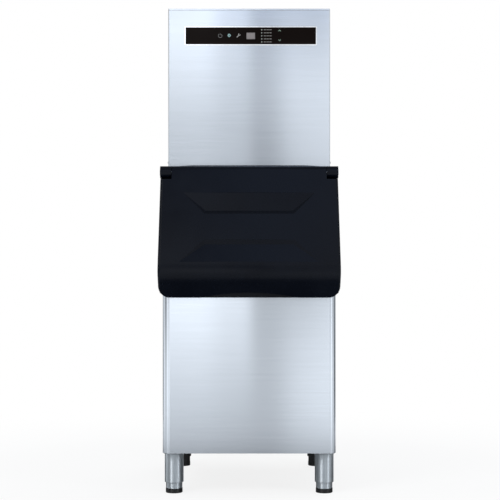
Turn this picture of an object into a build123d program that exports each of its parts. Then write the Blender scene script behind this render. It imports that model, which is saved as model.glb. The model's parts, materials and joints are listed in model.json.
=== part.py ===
from build123d import *

import os
from math import atan2, cos, hypot, radians, sin, sqrt, tan

# Freestanding ice machine: an ice-making head on an insulated storage bin with a lift-up door.
# Millimetres, +Z up, front towards -Y, origin on the floor under the middle of the machine.

# Overall places
panel_back_y = 393.0
fitting_reach = 22.0
fitting_collar = 3.0
cabinet_front_y = -325.0
head_front_y = -191.0
base_z = 139.0
bin_top_z = 1110.0
head_top_z = 1659.0
cut_margin = 20.0

# Sheet metal cabinet of the bin
cabinet_width = 584.0
sheet = 1.2
cabinet_corner_radius = 25.0
front_panel_return = 20.0
front_panel_top_z = 690.0
base_sheet = 1.5

# Legs
leg_inset = 37.0
front_leg_y = -270.0
rear_leg_y = 320.0
leg_plate_width = 68.0
leg_plate_thickness = 3.0
leg_plate_corner = 6.0
sleeve_radius = 32.0
sleeve_wall = 2.0
sleeve_edge = 1.2
sleeve_bottom_z = 36.0
collar_height = 20.0
insert_radius = 27.8
insert_wall = 3.0
insert_length = 70.0
pad_height = 15.5
pad_radius = 28.6
pad_edge = 2.0
foot_clearance = 0.06

# Throat, the slanted opening that the door closes
throat_lean = 12.2
throat_ref_y = -250.0
throat_ref_z = 1060.0
throat_half_width = 248.0
frame_overhang = 8.0
post_depth = 55.0
sill_bottom_z = 690.0
sill_top_z = 715.0
sill_lip_drop = 12.0
header_bottom_z = 1045.0
header_front_y = -246.0
header_top_z = 1113.0
header_back_y = -193.0
hood_flat_half = 195.0
hood_fall = 6.0
header_chamfer = 4.0
header_back_chamfer = 1.0
sill_lip_proud = 1.5

# Door hinge
hinge_y = -274.0
hinge_z = 1087.0
barrel_radius = 21.0
barrel_inset = 38.0
barrel_wall = 3.0
barrel_boss_length = 40.0
ear_gap = 1.6
ear_overhang = 2.0
ear_root = 8.0
pin_radius = 5.0
pin_head_radius = 9.0
pin_head_height = 1.4
pin_end_play = 2.0
pin_clearance = 0.05
bushing_wall = 2.5
bushing_length = 30.0

# Door shell
door_knee_flare = 3.5
door_bottom_flare = 2.0
door_bottom_z = 664.0
door_bottom_y = -366.0
knee_z = 748.0
knee_y = -416.0
knee_radius = 80.0
door_crown = 7.0
door_side_radius = 10.0
door_corner_radius = 39.0
door_corner_ease = 0.6
door_wall = 3.0
door_gap = 9.0
shoulder_z = 1063.0
grip_rail_top_z = 700.0
grip_half_length = 163.0
grip_rise = 17.0
grip_depth = 11.0
door_liner_wall = 2.5
door_liner_inset = 4.0
plateau_margin = 22.0
plateau_height = 15.0
plateau_half_width = 220.0
gasket_width = 16.0
gasket_inset = 6.0
gasket_rail_width = 10.0
gasket_header_width = 12.0
gasket_top_drop = 2.0
gasket_clearance = 0.3

# Door emboss: two wedge recesses that leave a raised band between them
recess_depth = 8.0
recess_step = 13.0
recess_draft = 3.9
upper_step_z = 944.0
upper_step_half = 150.0
upper_end_z = 1016.0
upper_end_half = 222.0
lower_step_z = 857.0
lower_step_half = 151.0
lower_end_z = 783.0
lower_end_half = 234.0

# Bin liner
liner_wall = 3.0
liner_front_y = -286.0
liner_back_y = 353.0
liner_bottom_z = 182.0
liner_corner_radius = 22.0
deflector_sheet = 1.5
deflector_drop = 95.0
deflector_shelf = 34.0
deflector_set_forward = 4.0
deflector_side_gap = 6.0
probe_radius = 6.0
probe_length = 120.0
probe_stand_off = 10.0
probe_drop = 130.0
probe_start_y = -60.0
probe_clip_width = 16.0
probe_clip_wall = 2.0
probe_clip_spacing = 60.0

# Drain of the bin
drain_radius = 12.5
drain_bore_radius = 9.5
drain_y = 300.0
drain_z = 162.0
drain_bend = 16.0
drain_flange_radius = 26.0
drain_flange = 2.0

# Head panels
head_half_width = 280.0
head_corner_radius = 3.0
head_return = 22.0
head_seam = 0.6
cap_height = 6.0
pan_sheet = 1.5
pan_flange = 30.0
drop_half_width = 212.0
drop_front_y = -165.0
drop_back_y = -78.0
drop_corner_radius = 12.0
chute_wall = 3.0
chute_drop = 24.0
chute_rise = 10.0
partition_y = 70.0
partition_thickness = 12.0
partition_top_gap = 24.0

# Control fascia
fascia_x = 5.4
fascia_z = 1564.5
fascia_width = 458.0
fascia_height = 66.0
fascia_rim = 3.6
fascia_rim_proud = 2.4
fascia_proud = 1.4
fascia_thickness = 8.0
fascia_corner = 4.0
fascia_fit = 0.1
window_width = 30.8
window_height = 23.5
window_recess = 1.2
window_depth = 3.0
window_clearance = 0.2
window_bevel = 0.6
lamp_count = 5
lamp_pitch = 10.5
lamp_x = 38.0
lamp_radius = 2.2
lamp_recess = 0.2
lamp_depth = 4.0
lamp_clearance = 0.1
board_depth = 30.0
box_side_inset = 20.0
box_top_inset = 10.0
box_corner = 4.0

# Ice-making parts
evaporator_half_width = 204.0
evaporator_bottom_z = 1215.0
evaporator_height = 285.0
evaporator_front_y = -2.0
evaporator_depth = 24.0
cell_columns = 14
cell_rows = 10
cell_wall = 4.0
cell_depth = 20.0
tube_rows = 5
tube_pitch = 60.0
tube_start = 22.0
tube_inset = 40.0
tube_lead = 20.0
tube_gap = 0.1
tube_bend_ease = 2.0
cheek_half_inner = 228.0
cheek_thickness = 8.0
cheek_front_y = -44.0
cheek_top_z = 1552.0
cheek_corner = 14.0
rail_rise = 8.0
rail_height = 30.0
rail_depth = 6.0
curtain_half_width = 222.0
curtain_sheet = 2.5
curtain_y = -26.0
curtain_pivot_z = 1538.0
curtain_bottom_z = 1196.0
curtain_pin_radius = 4.0
curtain_pin_clearance = 0.08
curtain_end_play = 1.0
curtain_top_rise = 2.0
curtain_kick = 14.0
curtain_kick_height = 40.0
curtain_ribs = 4
curtain_rib_half = 2.0
curtain_rib_depth = 6.0
curtain_rib_inset = 20.0
curtain_rib_drop = 30.0
curtain_rib_spread = 0.8
distributor_radius = 11.0
distributor_y = 6.0
distributor_z = 1524.0
distributor_wall = 3.0
cap_wall = 4.0
outlet_width = 3.0
outlet_front = 5.0
trough_half_width = 222.0
trough_front_y = -58.0
trough_height = 66.0
trough_wall = 3.0
trough_corner = 10.0
pump_radius = 19.0
pump_volute_height = 26.0
pump_neck_top = 60.0
pump_neck_radius = 11.0
pump_height = 118.0
pump_edge = 5.0
pump_outlet_height = 13.0
hose_lead = 22.0
hose_low_bend = 14.0
hose_high_bend = 16.0
pump_x = -257.5
pump_y = 8.0
hose_radius = 8.0
coolant_tube_radius = 5.0

# Cooling parts behind the partition
compressor_x = -140.0
compressor_y = 245.0
compressor_radius = 88.0
compressor_height = 215.0
grommet_height = 20.0
grommet_radius = 13.0
foot_plate = 5.0
foot_plate_margin = 6.0
foot_plate_corner = 16.0
grommet_inset = 8.0
seam_share = 0.55
seam_half_height = 3.0
seam_proud = 2.0
shell_foot_inset = 6.0
shell_dome = 30.0
shell_bend = 30.0
shell_foot_bend = 14.0
cover_half_width = 26.0
cover_proud = 22.0
cover_root = 14.0
cover_low = 70.0
cover_high = 130.0
cover_corner = 6.0
coil_x = 125.0
coil_half_width = 132.0
coil_bottom_z = 1150.0
coil_height = 270.0
coil_depth = 48.0
coil_clearance = 6.0
coil_end_sheet = 2.0
coil_end_rise = 6.0
coil_margin = 4.0
coil_spine = 8.0
fin_count = 26
fin_gap = 5.6
fan_radius = 104.0
fan_clearance = 8.0
shroud_depth = 34.0
shroud_wall = 3.0
shroud_gap = 6.0
arm_count = 3
arm_depth = 8.0
arm_width = 16.0
arm_first_turn = 60.0
motor_ring_width = 4.0
motor_ring_clearance = 6.0
blade_count = 5
blade_thickness = 2.2
blade_root_chord = 34.0
blade_root_pitch = 34.0
blade_tip_chord = 74.0
blade_tip_pitch = 17.0
blade_root_depth = 4.0
hub_radius = 24.0
hub_gap = 2.0
hub_bore_depth = 20.0
motor_radius = 40.0
motor_length = 62.0
motor_edge = 6.0
shaft_radius = 4.0
shaft_length = 26.0
shaft_clearance = 0.06
vent_count = 14
vent_pitch = 17.0
vent_height = 8.0
vent_length = 232.0
louvre_count = 9
louvre_pitch = 22.0
louvre_length = 150.0
louvre_height = 9.0
louvre_depth = 7.0
louvre_slot_share = 0.7
louvre_shift = 6.0
suction_x = -70.0
suction_z = 1492.0
drier_x = 20.0
drier_z = 1440.0
drier_radius = 20.0
drier_stand_off = 22.0
drier_neck_radius = 6.0
drier_neck = 14.0
drier_shoulder = 16.0
drier_length = 130.0
drier_strap_width = 10.0
drier_strap_height = 20.0
liquid_drop = 40.0
liquid_side_step = 23.0
liquid_bend = 14.0
liquid_end_bend = 12.0
discharge_height = 160.0
discharge_step = 24.0
discharge_rise = 30.0
discharge_bend = 12.0
suction_lead = 26.0
suction_rise = 40.0
suction_fall = 20.0
suction_entry_x = 20.0
suction_entry_y = 30.0
suction_seat_drop = 10.3
suction_lead_bend = 16.0
suction_bend = 20.0

# Connections through the head's back
inlet_x = 215.0
inlet_z = 1585.0
inlet_radius = 13.2
inlet_hose_radius = 5.0
dump_x = -258.0
dump_radius = 12.5
trough_port_y = 46.0
trough_port_z = 1163.0
hole_clearance = 0.6
fitting_collar_width = 4.5
valve_body_half = 20.0
valve_body_depth = 40.0
valve_corner = 4.0
valve_wall = 3.5
valve_coil_radius = 15.0
valve_coil_height = 32.0
inlet_lead = 60.0
inlet_over_gap = 3.0
inlet_rise_run = 50.0
inlet_side_step = 36.0
inlet_hose_bend = 24.0
inlet_hose_drop_bend = 18.0
dump_wall = 3.0
dump_bend = 16.0
gland_x = -205.0
gland_z = 1585.0
gland_radius = 11.0
gland_bore_radius = 5.0
gland_flange_width = 3.0
gland_flange = 6.0
gland_press = 0.1

# Worked-out places
cabinet_half = cabinet_width / 2
leg_centre_x = cabinet_half - leg_inset
frame_half_width = cabinet_half + frame_overhang
ear_half_outer = frame_half_width + ear_overhang
barrel_half_length = frame_half_width - barrel_inset
door_half_width_top = frame_half_width
door_half_width_knee = frame_half_width + door_knee_flare
door_half_width_bottom = frame_half_width + door_bottom_flare
cut_half = ear_half_outer + cut_margin
cut_front_y = knee_y - cut_margin
liner_half_width = throat_half_width
inside_half = cabinet_half - sheet
inside_front_y = cabinet_front_y + sheet
inside_back_y = panel_back_y - sheet
pan_top_z = bin_top_z + pan_sheet
head_inside_half = head_half_width - sheet
head_inside_front_y = head_front_y + sheet
head_inside_back_y = panel_back_y - sheet
cap_z = head_top_z - cap_height
partition_top_z = cap_z - partition_top_gap
side_start_y = head_front_y + head_return + head_seam
front_return_y = cabinet_front_y + cabinet_corner_radius + front_panel_return


def block(x, y, z):
    """A box between two values on each axis."""
    middle = [(low + high) / 2 for low, high in (x, y, z)]
    size = [high - low for low, high in (x, y, z)]
    return Pos(*middle) * Box(*size)


def prism_x(points, x):
    """A profile of (y, z) points carried between two values of x."""
    face = Plane.YZ.offset(x[0]) * Polygon(*points)
    return extrude(face, amount=x[1] - x[0], dir=(1, 0, 0))


def prism_y(points, y):
    """A profile of (x, z) points carried between two values of y."""
    outline = Polyline(*[(px, y[0], pz) for px, pz in points], close=True)
    return extrude(make_face(outline), amount=y[1] - y[0], dir=(0, 1, 0))


def rod(start, end, radius):
    """A round bar between two points."""
    run = Vector(*end) - Vector(*start)
    plane = Plane(origin=start, z_dir=run)
    return plane * Cylinder(radius, run.length, align=(Align.CENTER, Align.CENTER, Align.MIN))


def pipe(points, bends, radius):
    """A round bar along straight runs joined by bends."""
    path = FilletPolyline(*points, radius=bends)
    return sweep(Plane(origin=path @ 0, z_dir=path % 0) * Circle(radius), path=path)


def round_edges(shape, axis, radius, side=None):
    """Round the edges along one axis, all of them or those at one end of another axis."""
    edges = shape.edges().filter_by(axis)
    if side:
        edges = edges.group_by(side[0])[side[1]]
    return fillet(edges, radius)


def throat_y(z):
    """The y of the throat's slanted face at height z."""
    return throat_ref_y - (throat_ref_z - z) * tan(radians(throat_lean))


def door_back_y(z):
    """The y of the door's flat back at height z."""
    return throat_y(z) - door_gap


def save(name, shape):
    """Write one sub-part as parts/NAME.step."""
    shape.label = name
    export_step(shape, f"parts/{name}.step")


# Cabinet of the bin


def cabinet_front_panel():
    """Front sheet bent round both vertical corners."""
    heights = (base_z, front_panel_top_z)
    outer = block((-cabinet_half, cabinet_half), (cabinet_front_y, front_return_y), heights)
    outer = round_edges(outer, Axis.Z, cabinet_corner_radius, (Axis.Y, 0))
    inner = block((-inside_half, inside_half), (inside_front_y, front_return_y + 1), heights)
    inner = round_edges(inner, Axis.Z, cabinet_corner_radius - sheet, (Axis.Y, 0))
    return outer - inner


def side_outline(top_z):
    """Side panel outline in (y, z): square below, cut back behind the slanted throat above."""
    slope_low = (throat_y(front_panel_top_z) + post_depth, front_panel_top_z)
    slope_high = (throat_y(header_bottom_z) + post_depth, header_bottom_z)
    return [
        (front_return_y, base_z),
        (panel_back_y, base_z),
        (panel_back_y, top_z),
        (header_back_y, top_z),
        (header_back_y, header_bottom_z),
        slope_high,
        slope_low,
        (front_return_y, front_panel_top_z),
    ]


def cabinet_side_panel(side):
    """Flat side sheet; side is -1 on the left and 1 on the right."""
    low = min(side * inside_half, side * cabinet_half)
    return prism_x(side_outline(bin_top_z - liner_wall), (low, low + sheet))


def cabinet_back_panel():
    """Back sheet between the sides, with a hole for the drain pipe."""
    panel = block(
        (-inside_half, inside_half), (inside_back_y, panel_back_y), (base_z, bin_top_z - liner_wall)
    )
    return panel - rod((0, inside_back_y - 1, drain_z), (0, panel_back_y + 1, drain_z), drain_radius + 1)


def cabinet_base_plate():
    """Bottom sheet that carries the legs, with corners to match the front panel."""
    plate = block(
        (-inside_half, inside_half), (inside_front_y, inside_back_y), (base_z, base_z + base_sheet)
    )
    return round_edges(plate, Axis.Z, cabinet_corner_radius - sheet, (Axis.Y, 0))


def bin_liner():
    """Moulded tub, open at the top and through the slanted throat, with a rim all round."""
    half = liner_half_width
    rim_z = (bin_top_z - liner_wall, bin_top_z)
    outer = prism_x(
        [
            (liner_front_y, liner_bottom_z),
            (liner_back_y, liner_bottom_z),
            (liner_back_y, bin_top_z),
            (header_back_y, bin_top_z),
            (header_back_y, header_bottom_z),
            (throat_y(header_bottom_z) + liner_wall, header_bottom_z),
            (throat_y(sill_top_z) + liner_wall, sill_top_z),
            (liner_front_y, sill_top_z),
        ],
        (-half, half),
    )
    outer = round_edges(outer, Axis.Z, liner_corner_radius, (Axis.Y, -1))
    wall = liner_wall
    floor_z = liner_bottom_z + wall
    tub = block(
        (-half + wall, half - wall), (liner_front_y + wall, liner_back_y - wall), (floor_z, bin_top_z + 1)
    )
    tub = round_edges(tub, Axis.Z, liner_corner_radius - wall)
    tub = fillet(tub.faces().sort_by(Axis.Z)[0].edges(), liner_corner_radius - wall - 2)
    below_header = header_bottom_z - wall
    behind_header = header_back_y + wall
    tub -= block((-half, half), (liner_front_y, behind_header), (sill_top_z + wall, bin_top_z + 2))
    throat_void = prism_x(
        [
            (throat_y(sill_top_z) - cut_margin, sill_top_z + wall),
            (behind_header, sill_top_z + wall),
            (behind_header, below_header),
            (throat_y(header_bottom_z) - cut_margin, below_header),
        ],
        (-half + wall, half - wall),
    )
    rim = block((-inside_half, inside_half), (header_back_y, inside_back_y), rim_z)
    drain_hole = rod((0, drain_y, liner_bottom_z - 1), (0, drain_y, floor_z + 1), drain_radius)
    return outer + rim - tub - throat_void - drain_hole


def liner_space():
    """The space the liner takes, for cutting the insulation."""
    half = liner_half_width
    return prism_x(
        [
            (liner_front_y, liner_bottom_z),
            (liner_back_y, liner_bottom_z),
            (liner_back_y, bin_top_z + 1),
            (throat_y(header_bottom_z) - cut_margin, bin_top_z + 1),
            (throat_y(sill_top_z) - cut_margin, sill_top_z),
            (liner_front_y, sill_top_z),
        ],
        (-half, half),
    )


def bin_insulation():
    """Foam between the liner and the sheets, sealed in."""
    top_z = bin_top_z - liner_wall
    body = prism_x(
        [
            (inside_front_y, base_z + base_sheet),
            (inside_back_y, base_z + base_sheet),
            (inside_back_y, top_z),
            (header_back_y, top_z),
            (header_back_y, header_bottom_z),
            (throat_y(header_bottom_z) + post_depth, header_bottom_z),
            (throat_y(front_panel_top_z) + post_depth, front_panel_top_z),
            (inside_front_y, front_panel_top_z),
        ],
        (-inside_half, inside_half),
    )
    front_edges = body.edges().filter_by(Axis.Z).group_by(Axis.Y)[0]
    body = fillet(front_edges, cabinet_corner_radius - sheet)
    return body - liner_space() - drain_solid(drain_radius)


def drain_solid(radius):
    """The drain's route: down from the tub's floor and out at the back."""
    return pipe(
        [
            (0, drain_y, liner_bottom_z + liner_wall),
            (0, drain_y, drain_z),
            (0, panel_back_y + fitting_reach, drain_z),
        ],
        drain_bend,
        radius,
    )


def bin_drain_pipe():
    """Hollow drain pipe with a flange on the tub's floor."""
    floor_z = liner_bottom_z + liner_wall
    flange = rod((0, drain_y, floor_z), (0, drain_y, floor_z + drain_flange), drain_flange_radius)
    ring = fitting_ring(0, drain_z, drain_radius)
    bore = drain_solid(drain_bore_radius)
    mouth = rod((0, drain_y, floor_z - 1), (0, drain_y, floor_z + drain_flange + 1), drain_bore_radius)
    return drain_solid(drain_radius) + flange + ring - bore - mouth


def ice_deflector():
    """Bent sheet under the header that keeps ice off the door."""
    top_z = header_bottom_z - liner_wall
    slope = tan(radians(throat_lean))
    lean = deflector_drop * slope
    bend_y = header_back_y - deflector_set_forward
    front_y = header_back_y - deflector_shelf
    outline = [
        (front_y, top_z),
        (bend_y, top_z),
        (bend_y - lean, top_z - deflector_drop),
        (bend_y - lean - deflector_sheet, top_z - deflector_drop),
        (bend_y - deflector_sheet * (1 + slope), top_z - deflector_sheet),
        (front_y, top_z - deflector_sheet),
    ]
    half = liner_half_width - liner_wall - deflector_side_gap
    return prism_x(outline, (-half, half))


def bin_level_probe():
    """Round probe on two clips near the top of the tub's left wall."""
    wall_x = -liner_half_width + liner_wall
    x = wall_x + probe_stand_off + probe_radius
    z = bin_top_z - probe_drop
    probe = rod((x, probe_start_y, z), (x, probe_start_y + probe_length, z), probe_radius)
    tall = probe_radius + probe_clip_wall
    middle = probe_start_y + probe_length / 2
    for side in (-1, 1):
        y = middle + side * probe_clip_spacing / 2 - probe_clip_width / 2
        probe += block((wall_x, x), (y, y + probe_clip_width), (z - tall, z + tall))
    return probe


# Throat frame and hinge


def header_profile():
    """The header's section in (y, z)."""
    return [
        (throat_y(header_bottom_z), header_bottom_z),
        (throat_y(throat_ref_z), throat_ref_z),
        (header_front_y, throat_ref_z + header_chamfer),
        (header_front_y, header_top_z - header_chamfer),
        (header_front_y + header_chamfer, header_top_z),
        (header_back_y - header_back_chamfer, header_top_z),
        (header_back_y, header_top_z - header_back_chamfer),
        (header_back_y, header_bottom_z),
    ]


def hinge_ear(side):
    """Round knuckle on an arm that reaches forward from the header's end."""
    inner = barrel_half_length + ear_gap
    low = inner if side > 0 else -ear_half_outer
    high = ear_half_outer if side > 0 else -inner
    knuckle = rod((low, hinge_y, hinge_z), (high, hinge_y, hinge_z), barrel_radius)
    heights = (hinge_z - barrel_radius, hinge_z + barrel_radius)
    return knuckle + block((low, high), (hinge_y, header_front_y + ear_root), heights)


def throat_frame():
    """Moulded surround of the throat: header, two posts, sill and the hinge ears."""
    header = prism_x(header_profile(), (-frame_half_width, frame_half_width))
    outline = [
        (-frame_half_width, header_bottom_z - 1),
        (frame_half_width, header_bottom_z - 1),
        (frame_half_width, header_top_z - hood_fall),
        (hood_flat_half, header_top_z),
        (-hood_flat_half, header_top_z),
        (-frame_half_width, header_top_z - hood_fall),
    ]
    frame = header & prism_y(outline, (cut_front_y, header_back_y + 1))
    post = [
        (throat_y(sill_top_z), sill_top_z),
        (throat_y(sill_top_z) + post_depth, sill_top_z),
        (throat_y(header_bottom_z) + post_depth, header_bottom_z),
        (throat_y(header_bottom_z), header_bottom_z),
    ]
    frame += prism_x(post, (throat_half_width, frame_half_width))
    frame += prism_x(post, (-frame_half_width, -throat_half_width))
    lip_y = cabinet_front_y - sill_lip_proud
    sill = [
        (throat_y(sill_bottom_z), sill_bottom_z - sill_lip_drop),
        (lip_y, sill_bottom_z - sill_lip_drop),
        (lip_y, sill_bottom_z),
        (throat_y(sill_bottom_z) + post_depth, sill_bottom_z),
        (throat_y(sill_top_z) + post_depth, sill_top_z),
        (throat_y(sill_top_z), sill_top_z),
        (throat_y(sill_bottom_z), sill_bottom_z),
    ]
    sill_bar = prism_x(sill, (-frame_half_width, frame_half_width))
    sill_bar -= block((-throat_half_width, throat_half_width), (liner_front_y, 0), (0, sill_top_z + 1))
    frame += sill_bar
    for side in (-1, 1):
        frame += hinge_ear(side)
    return frame - rod((-cut_half, hinge_y, hinge_z), (cut_half, hinge_y, hinge_z), pin_radius)


def hinge_pins():
    """Two headed pins pressed into the ears and reaching into the door's bushings."""
    pins = []
    for side in (-1, 1):
        tip = side * (barrel_half_length - bushing_length + pin_end_play)
        face = side * ear_half_outer
        end = face + side * pin_head_height
        shank = rod((tip, hinge_y, hinge_z), (face, hinge_y, hinge_z), pin_radius)
        head = rod((face, hinge_y, hinge_z), (end, hinge_y, hinge_z), pin_head_radius)
        pins.append(shank + head)
    return Compound(pins)


# Door


def knee_arc():
    """Centre of the knee's rounding and the heights where it meets the straight runs."""
    start = door_face_start()
    down = (Vector(knee_y, knee_z) - Vector(*start)).normalized()
    under = (Vector(door_bottom_y, door_bottom_z) - Vector(knee_y, knee_z)).normalized()
    half_turn = radians(down.get_angle(under)) / 2
    inward = (under - down).normalized()
    centre = Vector(knee_y, knee_z) + inward * (knee_radius / cos(half_turn))
    run = knee_radius * tan(half_turn)
    high_z = knee_z - down.Y * run
    low_z = knee_z + under.Y * run
    return centre, high_z, low_z


def door_face_start():
    """Where the sloping face leaves the hinge barrel, as (y, z)."""
    dy = knee_y - hinge_y
    dz = knee_z - hinge_z
    distance = hypot(dy, dz)
    angle = atan2(dz, dy) - atan2(sqrt(distance**2 - barrel_radius**2), barrel_radius)
    return hinge_y + barrel_radius * cos(angle), hinge_z + barrel_radius * sin(angle)


def door_front_y(z):
    """The y of the door's outer face beside its crown, at height z."""
    start_y, start_z = door_face_start()
    centre, high_z, low_z = knee_arc()
    if z >= high_z:
        return knee_y + (start_y - knee_y) * (z - knee_z) / (start_z - knee_z)
    if z <= low_z:
        return knee_y + (door_bottom_y - knee_y) * (z - knee_z) / (door_bottom_z - knee_z)
    return centre.X - sqrt(knee_radius**2 - (z - centre.Y) ** 2)


def door_half_width(z):
    """Half of the door's width at height z, widest at the knee."""
    if z > knee_z:
        share = (z - knee_z) / (hinge_z - knee_z)
        return door_half_width_knee + (door_half_width_top - door_half_width_knee) * share
    share = (knee_z - z) / (knee_z - door_bottom_z)
    return door_half_width_knee + (door_half_width_bottom - door_half_width_knee) * share


def door_crown_at(z):
    """How far the middle of the face stands ahead of its sides at height z."""
    return door_crown * min(1.0, (hinge_z - z) / (hinge_z - knee_z))


def door_section(z, inset, back):
    """Level section of the door: crowned front, rounded front corners, flat sides and back."""
    half = door_half_width(z) - inset
    radius = door_side_radius - inset
    front = door_front_y(z) + inset
    middle = front - door_crown_at(z)
    flat = half - radius
    bulge = radius * (1 - cos(radians(45)))
    edges = [
        ThreePointArc((-flat, front, z), (0, middle, z), (flat, front, z)),
        ThreePointArc((flat, front, z), (half - bulge, front + bulge, z), (half, front + radius, z)),
        Line((half, front + radius, z), (half, back, z)),
        Line((half, back, z), (-half, back, z)),
        Line((-half, back, z), (-half, front + radius, z)),
        ThreePointArc((-half, front + radius, z), (-half + bulge, front + bulge, z), (-flat, front, z)),
    ]
    return make_face(edges)


def door_block(inset, low, high, extra_back):
    """The door's solid form between two heights, inset from its skin."""
    _, knee_high, knee_low = knee_arc()
    low_bend = max(low, knee_low)
    steps = 4
    bend = [low_bend + (knee_high - low_bend) * step / steps for step in range(steps + 1)]

    def sections(heights):
        return [door_section(z, inset, door_back_y(z) + extra_back) for z in heights]

    block_form = loft(sections([knee_high, high]), ruled=True) + loft(sections(bend))
    if low < knee_low:
        block_form += loft(sections([low, knee_low]), ruled=True)
    return block_form


def face_point(x, z, depth):
    """A point a given depth under the crowned outer face."""
    lean = atan2(door_face_start()[0] - knee_y, door_face_start()[1] - knee_z)
    crown = door_crown_at(z) * (1 - (x / door_half_width(z)) ** 2)
    return Vector(x, door_front_y(z) - crown + depth * cos(lean), z - depth * sin(lean))


def wedge_recess(step_z, step_half, end_z, end_half, under):
    """A recess that is deepest at its step and runs out at its far end, moved under the skin."""
    way = 1 if end_z > step_z else -1
    near_z = step_z - way * under
    floor_z = step_z + way * (recess_step - under)
    half = step_half + under
    floor_half = half - recess_draft
    a = face_point(-half, near_z, under)
    b = face_point(half, near_z, under)
    c = face_point(end_half + under, end_z, under)
    d = face_point(-end_half - under, end_z, under)
    e = face_point(-floor_half, floor_z, recess_depth + under)
    f = face_point(floor_half, floor_z, recess_depth + under)
    rise = face_point(0, step_z, -cut_margin) - face_point(0, step_z, 0)
    ring = [a, b, c, d]
    tops = [point + rise for point in ring]
    corners = [[a, b, f, e], [e, f, c, d], [a, e, d], [b, c, f], tops]
    for turn in range(4):
        after = (turn + 1) % 4
        corners.append([ring[turn], tops[turn], tops[after], ring[after]])
    return Solid(Shell([Face(Wire.make_polygon(corner, close=True)) for corner in corners])).fix()


def recesses(under):
    """Both recesses of the emboss, moved under the skin."""
    return [
        wedge_recess(upper_step_z, upper_step_half, upper_end_z, upper_end_half, under),
        wedge_recess(lower_step_z, lower_step_half, lower_end_z, lower_end_half, under),
    ]


def door_void():
    """The hollow of the door shell, open at its back."""
    low, high = liner_panel_heights()
    return door_block(door_wall, low, high, 40) - recesses(door_wall)


def door_shell():
    """Open moulded shell with the hinge barrel, emboss, corner notches and grip."""
    start_z = door_face_start()[1]
    shell = door_block(0, door_bottom_z, start_z, 0)
    half = barrel_half_length
    barrel = rod((-half, hinge_y, hinge_z), (half, hinge_y, hinge_z), barrel_radius)
    for side in (-1, 1):
        notch_x = sorted((side * barrel_half_length, side * cut_half))
        shell -= block(notch_x, (cut_front_y, 0), (shoulder_z, head_top_z))
    shell += barrel
    shell = shell & door_outline_prism()
    shell = shell - door_void() - recesses(0)
    hollow = barrel_half_length - barrel_boss_length
    shell -= rod((-hollow, hinge_y, hinge_z), (hollow, hinge_y, hinge_z), barrel_radius - barrel_wall)
    bush = pin_radius + pin_clearance + bushing_wall
    depth = barrel_half_length - bushing_length
    for side in (-1, 1):
        shell -= rod((side * depth, hinge_y, hinge_z), (side * cut_half, hinge_y, hinge_z), bush)
    return shell - grip_scoop()


def door_outline_prism():
    """Front outline of the door with its two rounded bottom corners."""
    body = block((-cut_half, cut_half), (cut_front_y, 0), (door_bottom_z, head_top_z))
    corner = door_corner_radius
    centre_z = door_bottom_z + corner
    for side in (-1, 1):
        centre_x = side * (door_half_width_bottom - corner)
        spare = sorted((centre_x, side * (cut_half + 1)))
        cut = block(spare, (cut_front_y - 1, 1), (door_bottom_z - 1, centre_z))
        reach = corner + door_corner_ease
        body -= cut - rod((centre_x, cut_front_y - 2, centre_z), (centre_x, 2, centre_z), reach)
    return body


def grip_scoop():
    """Shallow arched cut along the middle of the bottom edge."""
    radius = (grip_half_length**2 + grip_rise**2) / (2 * grip_rise)
    centre_z = door_bottom_z + grip_rise - radius
    back = door_bottom_y + grip_depth
    disc = rod((0, cut_front_y, centre_z), (0, back, centre_z), radius)
    keep = block((-grip_half_length, grip_half_length), (cut_front_y, back), (door_bottom_z - 1, knee_z))
    return disc & keep


def door_bushings():
    """Two plain bushings in the ends of the door's barrel."""
    bushings = []
    bore = pin_radius + pin_clearance
    for side in (-1, 1):
        inner = side * (barrel_half_length - bushing_length)
        outer = side * barrel_half_length
        sleeve = rod((inner, hinge_y, hinge_z), (outer, hinge_y, hinge_z), bore + bushing_wall)
        bushings.append(sleeve - rod((inner, hinge_y, hinge_z), (outer, hinge_y, hinge_z), bore))
    return Compound(bushings)


def liner_panel_heights():
    """Low and high edges of the door's inner panel."""
    return grip_rail_top_z, shoulder_z - door_wall


def door_liner():
    """Inner panel with a raised plateau that faces the bin."""
    low, high = liner_panel_heights()
    half = door_half_width_top - door_liner_inset
    thickness = door_liner_wall
    plate = [
        (door_back_y(low) - thickness, low),
        (door_back_y(low), low),
        (door_back_y(high), high),
        (door_back_y(high) - thickness, high),
    ]
    edge_low = sill_top_z + plateau_margin
    edge_high = header_bottom_z - plateau_margin
    slope = plateau_height
    outer = [
        (door_back_y(edge_low) - 1, edge_low),
        (door_back_y(edge_low + slope) + plateau_height, edge_low + slope),
        (door_back_y(edge_high - slope) + plateau_height, edge_high - slope),
        (door_back_y(edge_high) - 1, edge_high),
    ]
    raised = prism_x(outer, (-plateau_half_width, plateau_half_width))
    hollow = prism_x(
        [
            (door_back_y(edge_low) - 8, edge_low + thickness * 1.5),
            (door_back_y(edge_low + slope) + plateau_height - thickness, edge_low + slope + thickness),
            (door_back_y(edge_high - slope) + plateau_height - thickness, edge_high - slope - thickness),
            (door_back_y(edge_high) - 8, edge_high - thickness * 1.5),
        ],
        (-plateau_half_width + thickness, plateau_half_width - thickness),
    )
    return prism_x(plate, (-half, half)) + raised - hollow


def door_insulation():
    """Foam between the shell and the inner panel, sealed in."""
    low, high = liner_panel_heights()
    inner_face = prism_x(
        [
            (cut_front_y, low),
            (door_back_y(low) - door_liner_wall, low),
            (door_back_y(high) - door_liner_wall, high),
            (cut_front_y, high),
        ],
        (-cut_half, cut_half),
    )
    return door_void() & inner_face


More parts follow.
